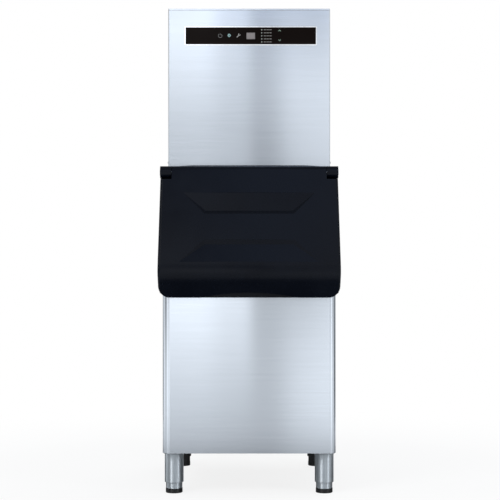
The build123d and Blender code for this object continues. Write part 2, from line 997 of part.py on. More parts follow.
def door_gasket():
    """Soft ring between the door's inner panel and the throat frame."""
    inner_half = throat_half_width + gasket_inset
    outer_half = inner_half + gasket_width
    low = grip_rail_top_z
    high = throat_ref_z - gasket_top_drop
    thick = door_gap - gasket_clearance
    ring = prism_x(
        [
            (door_back_y(low), low),
            (door_back_y(low) + thick, low),
            (door_back_y(high) + thick, high),
            (door_back_y(high), high),
        ],
        (-outer_half, outer_half),
    )
    heights = (low + gasket_rail_width, high - gasket_header_width)
    return ring - block((-inner_half, inner_half), (cut_front_y, 0), heights)


# Legs


def leg_plates():
    """Four square plates between the base sheet and the leg sleeves."""
    plates = []
    half = leg_plate_width / 2
    for x, y in leg_places().values():
        plate = block((x - half, x + half), (y - half, y + half), (base_z - leg_plate_thickness, base_z))
        plates.append(round_edges(plate, Axis.Z, leg_plate_corner))
    return Compound(plates)


def leg_places():
    """Name and centre of each leg."""
    places = {}
    for end, y in (("front", front_leg_y), ("rear", rear_leg_y)):
        for side, x in (("left", -leg_centre_x), ("right", leg_centre_x)):
            places[f"{end}_{side}"] = (x, y)
    return places


def leg_sleeve(x, y):
    """Outer tube of a leg with a closed top and a threaded collar at its mouth."""
    top_z = base_z - leg_plate_thickness
    tube = rod((x, y, sleeve_bottom_z), (x, y, top_z), sleeve_radius)
    tube = fillet(tube.edges().sort_by(Axis.Z)[0], sleeve_edge)
    collar_top = sleeve_bottom_z + collar_height
    tube -= rod((x, y, collar_top), (x, y, top_z - sleeve_wall), sleeve_radius - sleeve_wall)
    return tube - rod((x, y, 0), (x, y, collar_top + 1), insert_radius + foot_clearance)


def foot_insert(x, y):
    """Tube that screws up into the sleeve."""
    top_z = pad_height + insert_length
    tube = rod((x, y, pad_height), (x, y, top_z), insert_radius)
    return tube - rod((x, y, pad_height + insert_wall), (x, y, top_z + 1), insert_radius - insert_wall)


def foot_pad(x, y):
    """Round pad on the floor."""
    pad = rod((x, y, 0), (x, y, pad_height), pad_radius)
    return fillet(pad.edges().sort_by(Axis.Z)[0], pad_edge)


# Head panels


def head_base_pan():
    """Folded tray under the head with the opening that the ice falls through."""
    half = head_inside_half
    front = head_inside_front_y
    back = head_inside_back_y
    high = bin_top_z + pan_flange
    wall = pan_sheet
    pan = block((-half, half), (front, back), (bin_top_z, high))
    pan = round_edges(pan, Axis.Z, head_corner_radius - sheet, (Axis.Y, 0))
    pan -= block((-half + wall, half - wall), (front + wall, back - wall), (pan_top_z, high + 1))
    return pan - ice_way(0, (bin_top_z - 1, pan_top_z + 1))


def ice_way(inset, heights):
    """The ice opening's rounded rectangle, inset, between two heights."""
    half = drop_half_width - inset
    way = block((-half, half), (drop_front_y + inset, drop_back_y - inset), heights)
    return round_edges(way, Axis.Z, drop_corner_radius - inset)


def ice_chute():
    """Short collar that lines the ice opening and reaches down into the bin."""
    low = bin_top_z - chute_drop
    high = pan_top_z + chute_rise
    return ice_way(0, (low, high)) - ice_way(chute_wall, (low - 1, high + 1))


def fascia_outline(inset, y):
    """The fascia's rounded rectangle, inset, between two values of y."""
    half = fascia_width / 2 - inset
    tall = fascia_height / 2 - inset
    shape = block((fascia_x - half, fascia_x + half), y, (fascia_z - tall, fascia_z + tall))
    return round_edges(shape, Axis.Y, max(fascia_corner - inset, 1))


def head_front_panel():
    """Front sheet with returned sides and the cut-out for the control fascia."""
    half = head_half_width
    back = head_front_y + head_return
    outer = block((-half, half), (head_front_y, back), (bin_top_z, cap_z - head_seam))
    outer = round_edges(outer, Axis.Z, head_corner_radius, (Axis.Y, 0))
    half = head_inside_half
    inner = block((-half, half), (head_inside_front_y, back + 1), (bin_top_z - 1, cap_z))
    inner = round_edges(inner, Axis.Z, head_corner_radius - sheet, (Axis.Y, 0))
    return outer - inner - fascia_outline(0, (head_front_y - 1, head_inside_front_y + 1))


def louvre_section(side, z):
    """Section in (x, z) of one pressed louvre: a raised hood that is open along its lower edge."""
    face = side * head_half_width
    skin = side * (head_half_width - sheet)
    out = side * louvre_depth / 2
    lip = side * sheet
    return [
        (skin, z + louvre_height),
        (face + out * 0.7, z + louvre_height * 0.5),
        (face + out, z),
        (face + out - lip, z),
        (face - lip * 0.2, z + louvre_height * 0.55),
        (skin, z + louvre_height * 0.75),
    ]


def head_side_panel(side):
    """Side sheet with a bank of louvres beside the cooling parts."""
    low = min(side * head_inside_half, side * head_half_width)
    panel = block((low, low + sheet), (side_start_y, panel_back_y), (bin_top_z, cap_z - head_seam))
    y = (partition_y + partition_thickness + panel_back_y) / 2 + louvre_shift
    along = (y - louvre_length / 2, y + louvre_length / 2)
    slots = []
    hoods = []
    for row in range(louvre_count):
        z = louvre_bottom_z() + row * louvre_pitch
        slots.append(block((low - 1, low + sheet + 1), along, (z, z + louvre_height * louvre_slot_share)))
        hoods.append(prism_y(louvre_section(side, z), along))
    return (panel - slots) + hoods


def louvre_bottom_z():
    """Height of the lowest louvre."""
    return coil_bottom_z + (coil_height - (louvre_count - 1) * louvre_pitch) / 2


def head_back_panel():
    """Back sheet with an air grille in front of the condenser and holes for the fittings."""
    half = head_inside_half
    panel = block((-half, half), (head_inside_back_y, panel_back_y), (bin_top_z, cap_z - head_seam))
    through = (head_inside_back_y - 1, panel_back_y + 1)
    across = (coil_x - vent_length / 2, coil_x + vent_length / 2)
    low = coil_bottom_z + (coil_height - (vent_count - 1) * vent_pitch - vent_height) / 2
    slots = []
    for row in range(vent_count):
        z = low + row * vent_pitch
        slots.append(block(across, through, (z, z + vent_height)))
    for x, z, radius in back_holes():
        slots.append(rod((x, through[0], z), (x, through[1], z), radius))
    return panel - slots


def back_holes():
    """Centre and radius of each round hole in the head's back."""
    return [
        (inlet_x, inlet_z, inlet_radius + hole_clearance),
        (dump_x, trough_port_z, dump_radius + hole_clearance),
        (gland_x, gland_z, gland_radius),
    ]


def head_top_panel():
    """Shallow cap over the head."""
    cap = block((-head_half_width, head_half_width), (head_front_y, panel_back_y), (cap_z, head_top_z))
    cap = round_edges(cap, Axis.Z, head_corner_radius)
    across = (-head_inside_half, head_inside_half)
    return cap - block(across, (head_inside_front_y, head_inside_back_y), (cap_z - 1, head_top_z - sheet))


def partition_wall():
    """Insulated wall between the ice-making side and the cooling side."""
    wall = block(
        (-head_inside_half + pan_sheet, head_inside_half - pan_sheet),
        (partition_y, partition_y + partition_thickness),
        (pan_top_z, partition_top_z),
    )
    start = partition_y - 1
    end = partition_y + partition_thickness + 1
    for x, z, radius in ((suction_x, suction_z, coolant_tube_radius), (dump_x, trough_port_z, dump_radius)):
        wall -= rod((x, start, z), (x, end, z), radius + hole_clearance)
    return wall


# Control fascia


def fascia_rim_ring():
    """Thin bright rim round the fascia."""
    y = (head_front_y - fascia_rim_proud, head_inside_front_y)
    ring = fascia_outline(fascia_fit, y)
    return ring - fascia_outline(fascia_rim, (y[0] - 1, y[1] + 1))


def control_fascia():
    """Moulded fascia with a recess for the display and holes for the lamps."""
    front = head_front_y - fascia_proud
    x = fascia_x + lamp_x
    plate = fascia_outline(fascia_rim + fascia_fit / 2, (front, front + fascia_thickness))
    plate -= window_block(0, (front - 1, front + window_depth))
    for z in lamp_heights():
        plate -= rod((x, front - 1, z), (x, front + lamp_depth, z), lamp_radius)
    return plate


def window_block(inset, y):
    """The display's rectangle, inset, between two values of y."""
    half = window_width / 2 - inset
    tall = window_height / 2 - inset
    return block((fascia_x - half, fascia_x + half), y, (fascia_z - tall, fascia_z + tall))


def lamp_heights():
    """Heights of the indicator lamps."""
    low = fascia_z - lamp_pitch * (lamp_count - 1) / 2
    return [low + lamp_pitch * row for row in range(lamp_count)]


def display_window():
    """Small display set into the fascia."""
    front = head_front_y - fascia_proud
    pane = window_block(window_clearance, (front + window_recess, front + window_depth))
    return chamfer(pane.faces().sort_by(Axis.Y)[0].edges(), window_bevel)


def indicator_lamps():
    """Small lamp lenses in a column."""
    front = head_front_y - fascia_proud
    x = fascia_x + lamp_x
    radius = lamp_radius - lamp_clearance
    lamps = []
    for z in lamp_heights():
        lamps.append(rod((x, front + lamp_recess, z), (x, front + lamp_depth, z), radius))
    return Compound(lamps)


def control_box():
    """Box behind the fascia that holds the electronics."""
    front = head_front_y - fascia_proud + fascia_thickness
    half = fascia_width / 2 - box_side_inset
    tall = fascia_height / 2 - box_top_inset
    across = (fascia_x - half, fascia_x + half)
    box = block(across, (front, front + board_depth), (fascia_z - tall, fascia_z + tall))
    return round_edges(box, Axis.X, box_corner, (Axis.Y, -1))


# Ice-making parts


def evaporator_plate():
    """Upright freezing plate with a grid of cube cells on its front."""
    half = evaporator_half_width
    low = evaporator_bottom_z
    high = low + evaporator_height
    plate = block((-half, half), (evaporator_front_y, evaporator_front_y + evaporator_depth), (low, high))
    depth = (evaporator_front_y - 1, evaporator_front_y + cell_depth)
    wide = (2 * half - cell_wall) / cell_columns
    tall = (evaporator_height - cell_wall) / cell_rows
    pockets = []
    for column in range(cell_columns):
        left = -half + cell_wall + column * wide
        for row in range(cell_rows):
            bottom = low + cell_wall + row * tall
            pockets.append(block((left, left + wide - cell_wall), depth, (bottom, bottom + tall - cell_wall)))
    return plate - pockets


def evaporator_tube():
    """Cooling tube that runs to and fro across the back of the plate."""
    y = evaporator_front_y + evaporator_depth + coolant_tube_radius + tube_gap
    reach = evaporator_half_width - tube_inset
    low = evaporator_bottom_z + tube_start
    points = [(reach + tube_lead, y, low)]
    for row in range(tube_rows):
        z = low + row * tube_pitch
        end = -reach if row % 2 == 0 else reach
        points.append((end, y, z))
        if row < tube_rows - 1:
            points.append((end, y, z + tube_pitch))
    return pipe(points, tube_pitch / 2 - tube_bend_ease, coolant_tube_radius)


def evaporator_frame():
    """Two moulded cheeks joined by a back rail that carry the plate and the curtain."""
    frame = Part()
    inner = cheek_half_inner
    outer = inner + cheek_thickness
    for side in (-1, 1):
        x = sorted((side * inner, side * outer))
        cheek = block(x, (cheek_front_y, partition_y), (pan_top_z, cheek_top_z))
        cheek = round_edges(cheek, Axis.X, cheek_corner)
        shelf_x = sorted((side * evaporator_half_width, side * inner))
        shelf = block(
            shelf_x,
            (evaporator_front_y, evaporator_front_y + evaporator_depth),
            (evaporator_bottom_z, evaporator_bottom_z + evaporator_height),
        )
        frame += cheek + shelf
    rail_z = evaporator_bottom_z + evaporator_height + rail_rise
    frame += block((-inner, inner), (partition_y - rail_depth, partition_y), (rail_z, rail_z + rail_height))
    for y, z, radius in (
        (curtain_y, curtain_pivot_z, curtain_pin_radius + curtain_pin_clearance),
        (trough_port_y, trough_port_z, dump_radius + hole_clearance),
        (distributor_y, distributor_z, distributor_radius),
    ):
        frame -= rod((-outer - 1, y, z), (outer + 1, y, z), radius)
    return frame


def water_distributor():
    """Tube with a row of outlets that wets the top of the plate."""
    end = cheek_half_inner + cheek_thickness
    y = distributor_y
    z = distributor_z
    tube = rod((-end, y, z), (end, y, z), distributor_radius)
    tube -= rod((-end - 1, y, z), (end - cap_wall, y, z), distributor_radius - distributor_wall)
    outlets = []
    half = outlet_width / 2
    low = z - distributor_radius - 1
    front = y - outlet_front
    back = front + outlet_width
    wide = (2 * evaporator_half_width - cell_wall) / cell_columns
    for column in range(cell_columns):
        x = -evaporator_half_width + cell_wall / 2 + (column + 0.5) * wide
        outlets.append(block((x - half, x + half), (front, back), (low, z)))
    return tube - outlets


def water_curtain():
    """Hanging sheet in front of the plate, on two pivot pins."""
    half = curtain_half_width
    front = curtain_y - curtain_sheet / 2
    back = curtain_y + curtain_sheet / 2
    top = curtain_pivot_z + curtain_top_rise
    bend_z = curtain_bottom_z + curtain_kick_height
    sheet_side = [
        (front, bend_z),
        (front - curtain_kick, curtain_bottom_z),
        (front - curtain_kick + curtain_sheet, curtain_bottom_z),
        (back, bend_z - 1),
        (back, top),
        (front, top),
    ]
    curtain = prism_x(sheet_side, (-half, half))
    rib_heights = (bend_z + curtain_rib_inset, curtain_pivot_z - curtain_rib_drop)
    for rib in range(curtain_ribs):
        x = half * ((2 * rib + 1) / curtain_ribs - 1) * curtain_rib_spread
        across = (x - curtain_rib_half, x + curtain_rib_half)
        curtain += block(across, (front - curtain_rib_depth, front), rib_heights)
    pin_end = cheek_half_inner + cheek_thickness - curtain_end_play
    left = (-pin_end, curtain_y, curtain_pivot_z)
    right = (pin_end, curtain_y, curtain_pivot_z)
    return curtain + rod(left, right, curtain_pin_radius)


def water_trough():
    """Open trough under the plate, standing on the base pan."""
    half = trough_half_width
    wall = trough_wall
    high = pan_top_z + trough_height
    trough = block((-half, half), (trough_front_y, partition_y), (pan_top_z, high))
    trough = round_edges(trough, Axis.Z, trough_corner, (Axis.Y, 0))
    inside = (trough_front_y + wall, partition_y - wall)
    space = block((-half + wall, half - wall), inside, (pan_top_z + wall, high + 1))
    return trough - round_edges(space, Axis.Z, trough_corner - wall, (Axis.Y, 0))


def water_pump():
    """Upright pump beside the trough: motor, neck and volute with its outlet."""
    low = pan_top_z
    neck_low = low + pump_volute_height
    neck_high = low + pump_neck_top
    volute = rod((pump_x, pump_y, low), (pump_x, pump_y, neck_low), pump_radius)
    neck = rod((pump_x, pump_y, neck_low), (pump_x, pump_y, neck_high), pump_neck_radius)
    motor = rod((pump_x, pump_y, neck_high), (pump_x, pump_y, low + pump_height), pump_radius)
    return volute + neck + fillet(motor.edges().sort_by(Axis.Z)[-1], pump_edge)


def pump_hose():
    """Hose from the pump's outlet up to the distributor."""
    outlet_z = pan_top_z + pump_outlet_height
    outlet_y = pump_y - pump_radius
    up_y = outlet_y - hose_lead
    entry = (pump_x, distributor_y, distributor_z)
    rise = pipe(
        [(pump_x, outlet_y, outlet_z), (pump_x, up_y, outlet_z), (pump_x, up_y, distributor_z), entry],
        [hose_low_bend, hose_high_bend],
        hose_radius,
    )
    return rise + rod(entry, (-cheek_half_inner - cheek_thickness, distributor_y, distributor_z), hose_radius)


# Cooling parts


def compressor():
    """Welded steel shell with a seam flange, on a foot plate."""
    low = compressor_low_z()
    high = low + compressor_height
    radius = compressor_radius
    wall = radius - seam_proud
    seam = low + compressor_height * seam_share
    profile = FilletPolyline(
        (0, 0, low),
        (radius - shell_foot_inset, 0, low),
        (wall, 0, seam - seam_half_height),
        (wall, 0, high - shell_dome),
        (0, 0, high),
        radius=[shell_foot_bend, shell_bend, shell_bend],
    )
    closing = Line((0, 0, high), (0, 0, low))
    body = revolve(make_face([*profile.edges(), closing]), Axis.Z)
    body += rod((0, 0, seam - seam_half_height), (0, 0, seam + seam_half_height), radius)
    half = radius + foot_plate_margin
    plate = block((-half, half), (-half, half), (low - foot_plate, low))
    body += round_edges(plate, Axis.Z, foot_plate_corner)
    cover = block(
        (-cover_half_width, cover_half_width),
        (-radius - cover_proud, cover_root - radius),
        (low + cover_low, low + cover_high),
    )
    body += round_edges(cover, Axis.Z, cover_corner, (Axis.Y, 0))
    return Pos(compressor_x, compressor_y, 0) * body


def compressor_grommets():
    """Four rubber feet under the compressor."""
    feet = []
    half = compressor_radius - grommet_inset
    for x in (-half, half):
        for y in (-half, half):
            cx = compressor_x + x
            cy = compressor_y + y
            feet.append(rod((cx, cy, pan_top_z), (cx, cy, pan_top_z + grommet_height), grommet_radius))
    return Compound(feet)


def coil_back_y():
    """Rear face of the condenser, just inside the back panel."""
    return head_inside_back_y - coil_clearance


def condenser_coil():
    """Finned block between two end plates, with return bends at its ends."""
    back = coil_back_y()
    front = back - coil_depth
    low = coil_bottom_z
    high = low + coil_height
    left = coil_x - coil_half_width
    right = coil_x + coil_half_width
    core = block((left, right), (front, back), (low, high))
    slots = []
    pitch = (right - left - 2 * coil_margin) / fin_count
    spine_front = (front + back - coil_spine) / 2
    spine_back = spine_front + coil_spine
    heights = (low + coil_margin, high - coil_margin)
    for fin in range(fin_count):
        x = left + coil_margin + (fin + 0.5) * pitch
        for depth in ((front - 1, spine_front), (spine_back, back + 1)):
            slots.append(block((x - fin_gap / 2, x + fin_gap / 2), depth, heights))
    core -= slots
    plate_depth = (fan_plane_y(), back)
    for x in (left, right - coil_end_sheet):
        core += block((x, x + coil_end_sheet), plate_depth, (pan_top_z, high + coil_end_rise))
    return core


def fan_plane_y():
    """Front face of the condenser, where the shroud begins."""
    return coil_back_y() - coil_depth - shroud_gap


def fan_shroud():
    """Sheet with a round mouth and a flanged ring, fixed to the condenser, and three motor arms."""
    back = fan_plane_y()
    front = back - shroud_depth
    low = coil_bottom_z
    centre_z = low + coil_height / 2
    ring = fan_radius + fan_clearance
    half = coil_half_width
    shroud = block((-half, half), (back - shroud_wall, back), (low - centre_z, low + coil_height - centre_z))
    shroud += rod((0, front, 0), (0, back, 0), ring + shroud_wall)
    shroud -= rod((0, front - 1, 0), (0, back + 1, 0), ring)
    arm_front = front - arm_depth
    bracket = rod((0, arm_front, 0), (0, front, 0), motor_radius + motor_ring_width)
    arm = block((-arm_width / 2, arm_width / 2), (arm_front, front), (0, ring + shroud_wall))
    for turn in range(arm_count):
        bracket += Rot(0, arm_first_turn + turn * 360 / arm_count, 0) * arm
    bracket -= rod((0, arm_front - 1, 0), (0, front + 1, 0), shaft_radius + motor_ring_clearance)
    return Pos(coil_x, 0, centre_z) * (shroud + bracket)


def fan_motor():
    """Round motor on the shroud's arms, its shaft reaching into the fan's hub."""
    back = fan_plane_y() - shroud_depth - arm_depth
    z = coil_bottom_z + coil_height / 2
    body = rod((coil_x, back - motor_length, z), (coil_x, back, z), motor_radius)
    body = fillet(body.edges().sort_by(Axis.Y)[0], motor_edge)
    return body + rod((coil_x, back, z), (coil_x, back + shaft_length, z), shaft_radius)


def fan_blades():
    """Hub with pitched blades."""
    front = fan_plane_y() - shroud_depth + hub_gap
    depth = shroud_depth - 3 * hub_gap
    z = coil_bottom_z + coil_height / 2
    fan = rod((0, front, 0), (0, front + depth, 0), hub_radius)
    middle = front + depth / 2
    for blade in range(blade_count):
        root = blade_section(hub_radius - blade_root_depth, blade_root_chord, blade_root_pitch, middle)
        tip = blade_section(fan_radius, blade_tip_chord, blade_tip_pitch, middle)
        fan += Rot(0, 360 / blade_count * blade, 0) * loft([root, tip], ruled=True)
    fan -= rod((0, front - 1, 0), (0, front + hub_bore_depth, 0), shaft_radius + shaft_clearance)
    return Pos(coil_x, 0, z) * fan


def blade_section(radius, chord, pitch, y):
    """Flat blade section at a radius, turned to its pitch."""
    plane = Plane(origin=(0, y, radius), x_dir=(1, 0, 0), z_dir=(0, 0, 1))
    return plane * Rot(0, 0, pitch) * Rectangle(chord, blade_thickness)


def filter_drier():
    """Small pressure vessel in the liquid line, strapped to the partition wall."""
    shoulder_low = drier_neck + drier_shoulder
    shoulder_high = drier_length - shoulder_low
    profile = Polyline(
        (0, 0, 0),
        (drier_neck_radius, 0, 0),
        (drier_neck_radius, 0, drier_neck),
        (drier_radius, 0, shoulder_low),
        (drier_radius, 0, shoulder_high),
        (drier_neck_radius, 0, drier_length - drier_neck),
        (drier_neck_radius, 0, drier_length),
        (0, 0, drier_length),
        close=True,
    )
    body = revolve(make_face(profile), Axis.Z)
    half = drier_strap_width / 2
    middle = drier_length / 2
    heights = (middle - drier_strap_height / 2, middle + drier_strap_height / 2)
    strap = block((-half, half), (-drier_stand_off, 0), heights)
    return Pos(drier_x, drier_y(), drier_z) * (body + strap)


def drier_y():
    """The y of the drier's middle, a stand-off behind the partition wall."""
    return partition_y + partition_thickness + drier_stand_off


def compressor_low_z():
    """Underside of the compressor's shell, on its foot plate."""
    return pan_top_z + grommet_height + foot_plate


def liquid_line():
    """Tube from the drier down to the condenser."""
    y = drier_y()
    z = drier_z - liquid_drop
    coil_end = coil_x - coil_half_width
    side_x = coil_end - liquid_side_step
    back = coil_back_y() - coil_depth / 2
    return pipe(
        [(drier_x, y, drier_z), (drier_x, y, z), (side_x, y, z), (side_x, back, z), (coil_end, back, z)],
        [liquid_bend, liquid_bend, liquid_end_bend],
        coolant_tube_radius,
    )


def discharge_line():
    """Tube from the compressor across to the condenser."""
    x = compressor_x + compressor_radius - seam_proud
    side_x = x + discharge_step
    low = compressor_low_z() + discharge_height
    high = low + discharge_rise
    y = compressor_y
    back = coil_back_y() - coil_depth / 2
    return pipe(
        [(x, y, low), (side_x, y, low), (side_x, back, high), (coil_x - coil_half_width, back, high)],
        [discharge_bend, discharge_bend],
        coolant_tube_radius,
    )


def suction_line():
    """Tube from the freezing plate through the partition down to the compressor."""
    y = partition_y + partition_thickness + suction_lead
    top = compressor_low_z() + compressor_height
    entry_x = compressor_x + suction_entry_x
    entry_y = compressor_y - suction_entry_y
    return pipe(
        [
            (suction_x, evaporator_front_y + evaporator_depth, suction_z),
            (suction_x, y, suction_z),
            (entry_x, y, suction_z + suction_rise),
            (entry_x, entry_y, suction_z + suction_fall),
            (entry_x, entry_y, top - suction_seat_drop),
        ],
        [suction_lead_bend, suction_bend, suction_bend],
        coolant_tube_radius,
    )


def fitting_ring(x, z, radius):
    """Collar of a pipe connection on the outside of a back panel."""
    return rod((x, panel_back_y, z), (x, panel_back_y + fitting_collar, z), radius + fitting_collar_width)


def water_inlet_valve():
    """Valve on the back panel with its threaded inlet outside."""
    back = head_inside_back_y
    front = back - valve_body_depth
    end = panel_back_y + fitting_reach
    half = valve_body_half
    valve = block((inlet_x - half, inlet_x + half), (front, back), (inlet_z - half, inlet_z + half))
    valve = round_edges(valve, Axis.Y, valve_corner)
    valve += rod((inlet_x, front, inlet_z), (inlet_x, end, inlet_z), inlet_radius)
    valve += fitting_ring(inlet_x, inlet_z, inlet_radius)
    valve -= rod((inlet_x, back, inlet_z), (inlet_x, end + 1, inlet_z), inlet_radius - valve_wall)
    middle = (front + back) / 2
    low = inlet_z + half
    return valve + rod((inlet_x, middle, low), (inlet_x, middle, low + valve_coil_height), valve_coil_radius)


def inlet_hose():
    """Hose from the valve over the partition to the trough's side."""
    y = head_inside_back_y - valve_body_depth
    side_x = inlet_x + inlet_side_step
    high = partition_top_z + inlet_hose_radius + inlet_over_gap
    return pipe(
        [
            (inlet_x, y, inlet_z),
            (inlet_x, y - inlet_lead, inlet_z),
            (side_x, y - inlet_lead - inlet_rise_run, high),
            (side_x, trough_port_y, high),
            (side_x, trough_port_y, trough_port_z),
            (trough_half_width, trough_port_y, trough_port_z),
        ],
        [inlet_hose_bend, inlet_hose_bend, inlet_hose_drop_bend, inlet_hose_drop_bend],
        inlet_hose_radius,
    )


def dump_pipe():
    """Waste pipe from the trough out through the back panel."""
    end_y = panel_back_y + fitting_reach
    tube = pipe(
        [
            (-trough_half_width, trough_port_y, trough_port_z),
            (dump_x, trough_port_y, trough_port_z),
            (dump_x, end_y, trough_port_z),
        ],
        dump_bend,
        dump_radius,
    )
    tube += fitting_ring(dump_x, trough_port_z, dump_radius)
    bore = dump_radius - dump_wall
    return tube - rod((dump_x, partition_y, trough_port_z), (dump_x, end_y + 1, trough_port_z), bore)


def power_gland():
    """Gland ring for the supply lead."""
    front = head_inside_back_y - gland_flange
    end = panel_back_y + gland_flange
    gland = rod((gland_x, front, gland_z), (gland_x, end, gland_z), gland_radius - gland_press)
    gland += rod((gland_x, panel_back_y, gland_z), (gland_x, end, gland_z), gland_radius + gland_flange_width)
    return gland - rod((gland_x, front - 1, gland_z), (gland_x, end + 1, gland_z), gland_bore_radius)


def build():
    """Every sub-part by name."""
    parts = {
        "cabinet_front_panel": cabinet_front_panel(),
        "cabinet_left_panel": cabinet_side_panel(-1),
        "cabinet_right_panel": cabinet_side_panel(1),
        "cabinet_back_panel": cabinet_back_panel(),
        "cabinet_base_plate": cabinet_base_plate(),
        "bin_liner": bin_liner(),
        "bin_insulation": bin_insulation(),
        "bin_drain_pipe": bin_drain_pipe(),
        "ice_deflector": ice_deflector(),
        "bin_level_probe": bin_level_probe(),
        "throat_frame": throat_frame(),
        "hinge_pins": hinge_pins(),
        "door_shell": door_shell(),
        "door_bushings": door_bushings(),
        "door_liner": door_liner(),
        "door_insulation": door_insulation(),
        "door_gasket": door_gasket(),
        "leg_plates": leg_plates(),
        "head_base_pan": head_base_pan(),
        "ice_chute": ice_chute(),
        "head_front_panel": head_front_panel(),
        "head_left_panel": head_side_panel(-1),
        "head_right_panel": head_side_panel(1),
        "head_back_panel": head_back_panel(),
        "head_top_panel": head_top_panel(),
        "partition_wall": partition_wall(),
        "fascia_rim": fascia_rim_ring(),
        "control_fascia": control_fascia(),
        "display_window": display_window(),
        "indicator_lamps": indicator_lamps(),
        "control_box": control_box(),
        "evaporator_plate": evaporator_plate(),
        "evaporator_tube": evaporator_tube(),
        "evaporator_frame": evaporator_frame(),
        "water_distributor": water_distributor(),
        "water_curtain": water_curtain(),
        "water_trough": water_trough(),
        "water_pump": water_pump(),
        "pump_hose": pump_hose(),
        "compressor": compressor(),
        "compressor_grommets": compressor_grommets(),
        "condenser_coil": condenser_coil(),
        "fan_shroud": fan_shroud(),
        "fan_motor": fan_motor(),
        "fan_blades": fan_blades(),
        "filter_drier": filter_drier(),
        "coolant_lines": Compound([liquid_line(), discharge_line(), suction_line()]),
        "water_inlet_valve": water_inlet_valve(),
        "inlet_hose": inlet_hose(),
        "dump_pipe": dump_pipe(),
        "power_gland": power_gland(),
    }
    for place, (x, y) in leg_places().items():
        parts[f"{place}_leg_sleeve"] = leg_sleeve(x, y)
        parts[f"{place}_foot"] = Compound([foot_insert(x, y), foot_pad(x, y)])
    return parts


os.makedirs("parts", exist_ok=True)
for part_name, part_shape in build().items():
    save(part_name, part_shape)
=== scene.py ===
import json
import math

import bmesh
import bpy
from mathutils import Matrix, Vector

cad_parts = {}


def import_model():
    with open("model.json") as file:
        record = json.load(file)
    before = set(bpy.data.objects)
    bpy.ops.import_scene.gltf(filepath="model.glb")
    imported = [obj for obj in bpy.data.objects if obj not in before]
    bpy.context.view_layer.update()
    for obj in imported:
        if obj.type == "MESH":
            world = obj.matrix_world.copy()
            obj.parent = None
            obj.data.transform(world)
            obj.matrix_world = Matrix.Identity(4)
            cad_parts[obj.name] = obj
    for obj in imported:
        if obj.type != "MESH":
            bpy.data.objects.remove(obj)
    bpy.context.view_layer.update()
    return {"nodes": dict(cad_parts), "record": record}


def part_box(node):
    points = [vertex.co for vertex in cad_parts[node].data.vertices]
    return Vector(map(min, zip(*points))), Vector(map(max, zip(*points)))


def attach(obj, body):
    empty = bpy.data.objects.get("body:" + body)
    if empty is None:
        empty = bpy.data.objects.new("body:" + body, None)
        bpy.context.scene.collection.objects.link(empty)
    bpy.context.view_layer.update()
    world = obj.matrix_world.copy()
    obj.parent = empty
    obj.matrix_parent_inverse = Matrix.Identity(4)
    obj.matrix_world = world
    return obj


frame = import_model()

# Ice machine: an ice-making head on an insulated bin with a black lift-up door.
# Lengths are in metres and angles in degrees.
full_turn = 360

# Camera at the photograph's viewing angle
lens_mm = 96.0
sensor_mm = 36.0
camera_y = -4.805
camera_z = 0.796
camera_shift_x = 0.0016
camera_shift_y = 0.016

# World and floor
world_colour = (0.94, 0.97, 1.0)
world_light = 0.62
floor_half = 14.0
floor_colour = (0.93, 0.94, 0.95)
floor_roughness = 0.7
floor_specular = 0.2
floor_fade_near = 0.7
floor_fade_far = 2.2
floor_white = 0.84

# Lamps: name, place, point they look at, width and height, watts, colour
studio_lamps = [
    ("key_lamp", (-2.3, -3.0, 3.2), (0, 0, 0.9), (1.6, 1.6), 62.0, (1, 1, 1)),
    ("fill_lamp", (2.8, -2.4, 1.6), (0, 0, 0.8), (1.2, 1.8), 26.0, (0.93, 0.96, 1.0)),
    ("back_lamp", (1.2, 3.6, 3.0), (0, 0, 0.9), (1.8, 1.4), 34.0, (1, 1, 1)),
]

# Reflections: a drum round the machine, a ceiling and a mat on the floor, that only glossy surfaces see
drum_radius = 1.9
drum_height = 3.6
drum_sides = 96
drum_colour = (0.955, 0.985, 1.015)
brightest = 2.6
ceiling_light = 0.38
mat_radius = 1.88
mat_lift = 0.0004

# The drum's cooler colour: it sets in between two heights, and fades out to the sides past cool_half
upper_colour = (0.56, 0.70, 1.0)
upper_start = 2.0
upper_full = 2.35
cool_half = 12.0

# The stretch of the drum ahead of the machine has its own levels, blended into those around it
ahead_half = 18.0
ahead_blend = 4.0

# Brightness of the mat, by distance from the machine's middle
mat_rings = [(0.0, 0.1), (0.9, 0.06), (1.12, 0.25), (1.32, 0.82), (1.88, 0.95)]

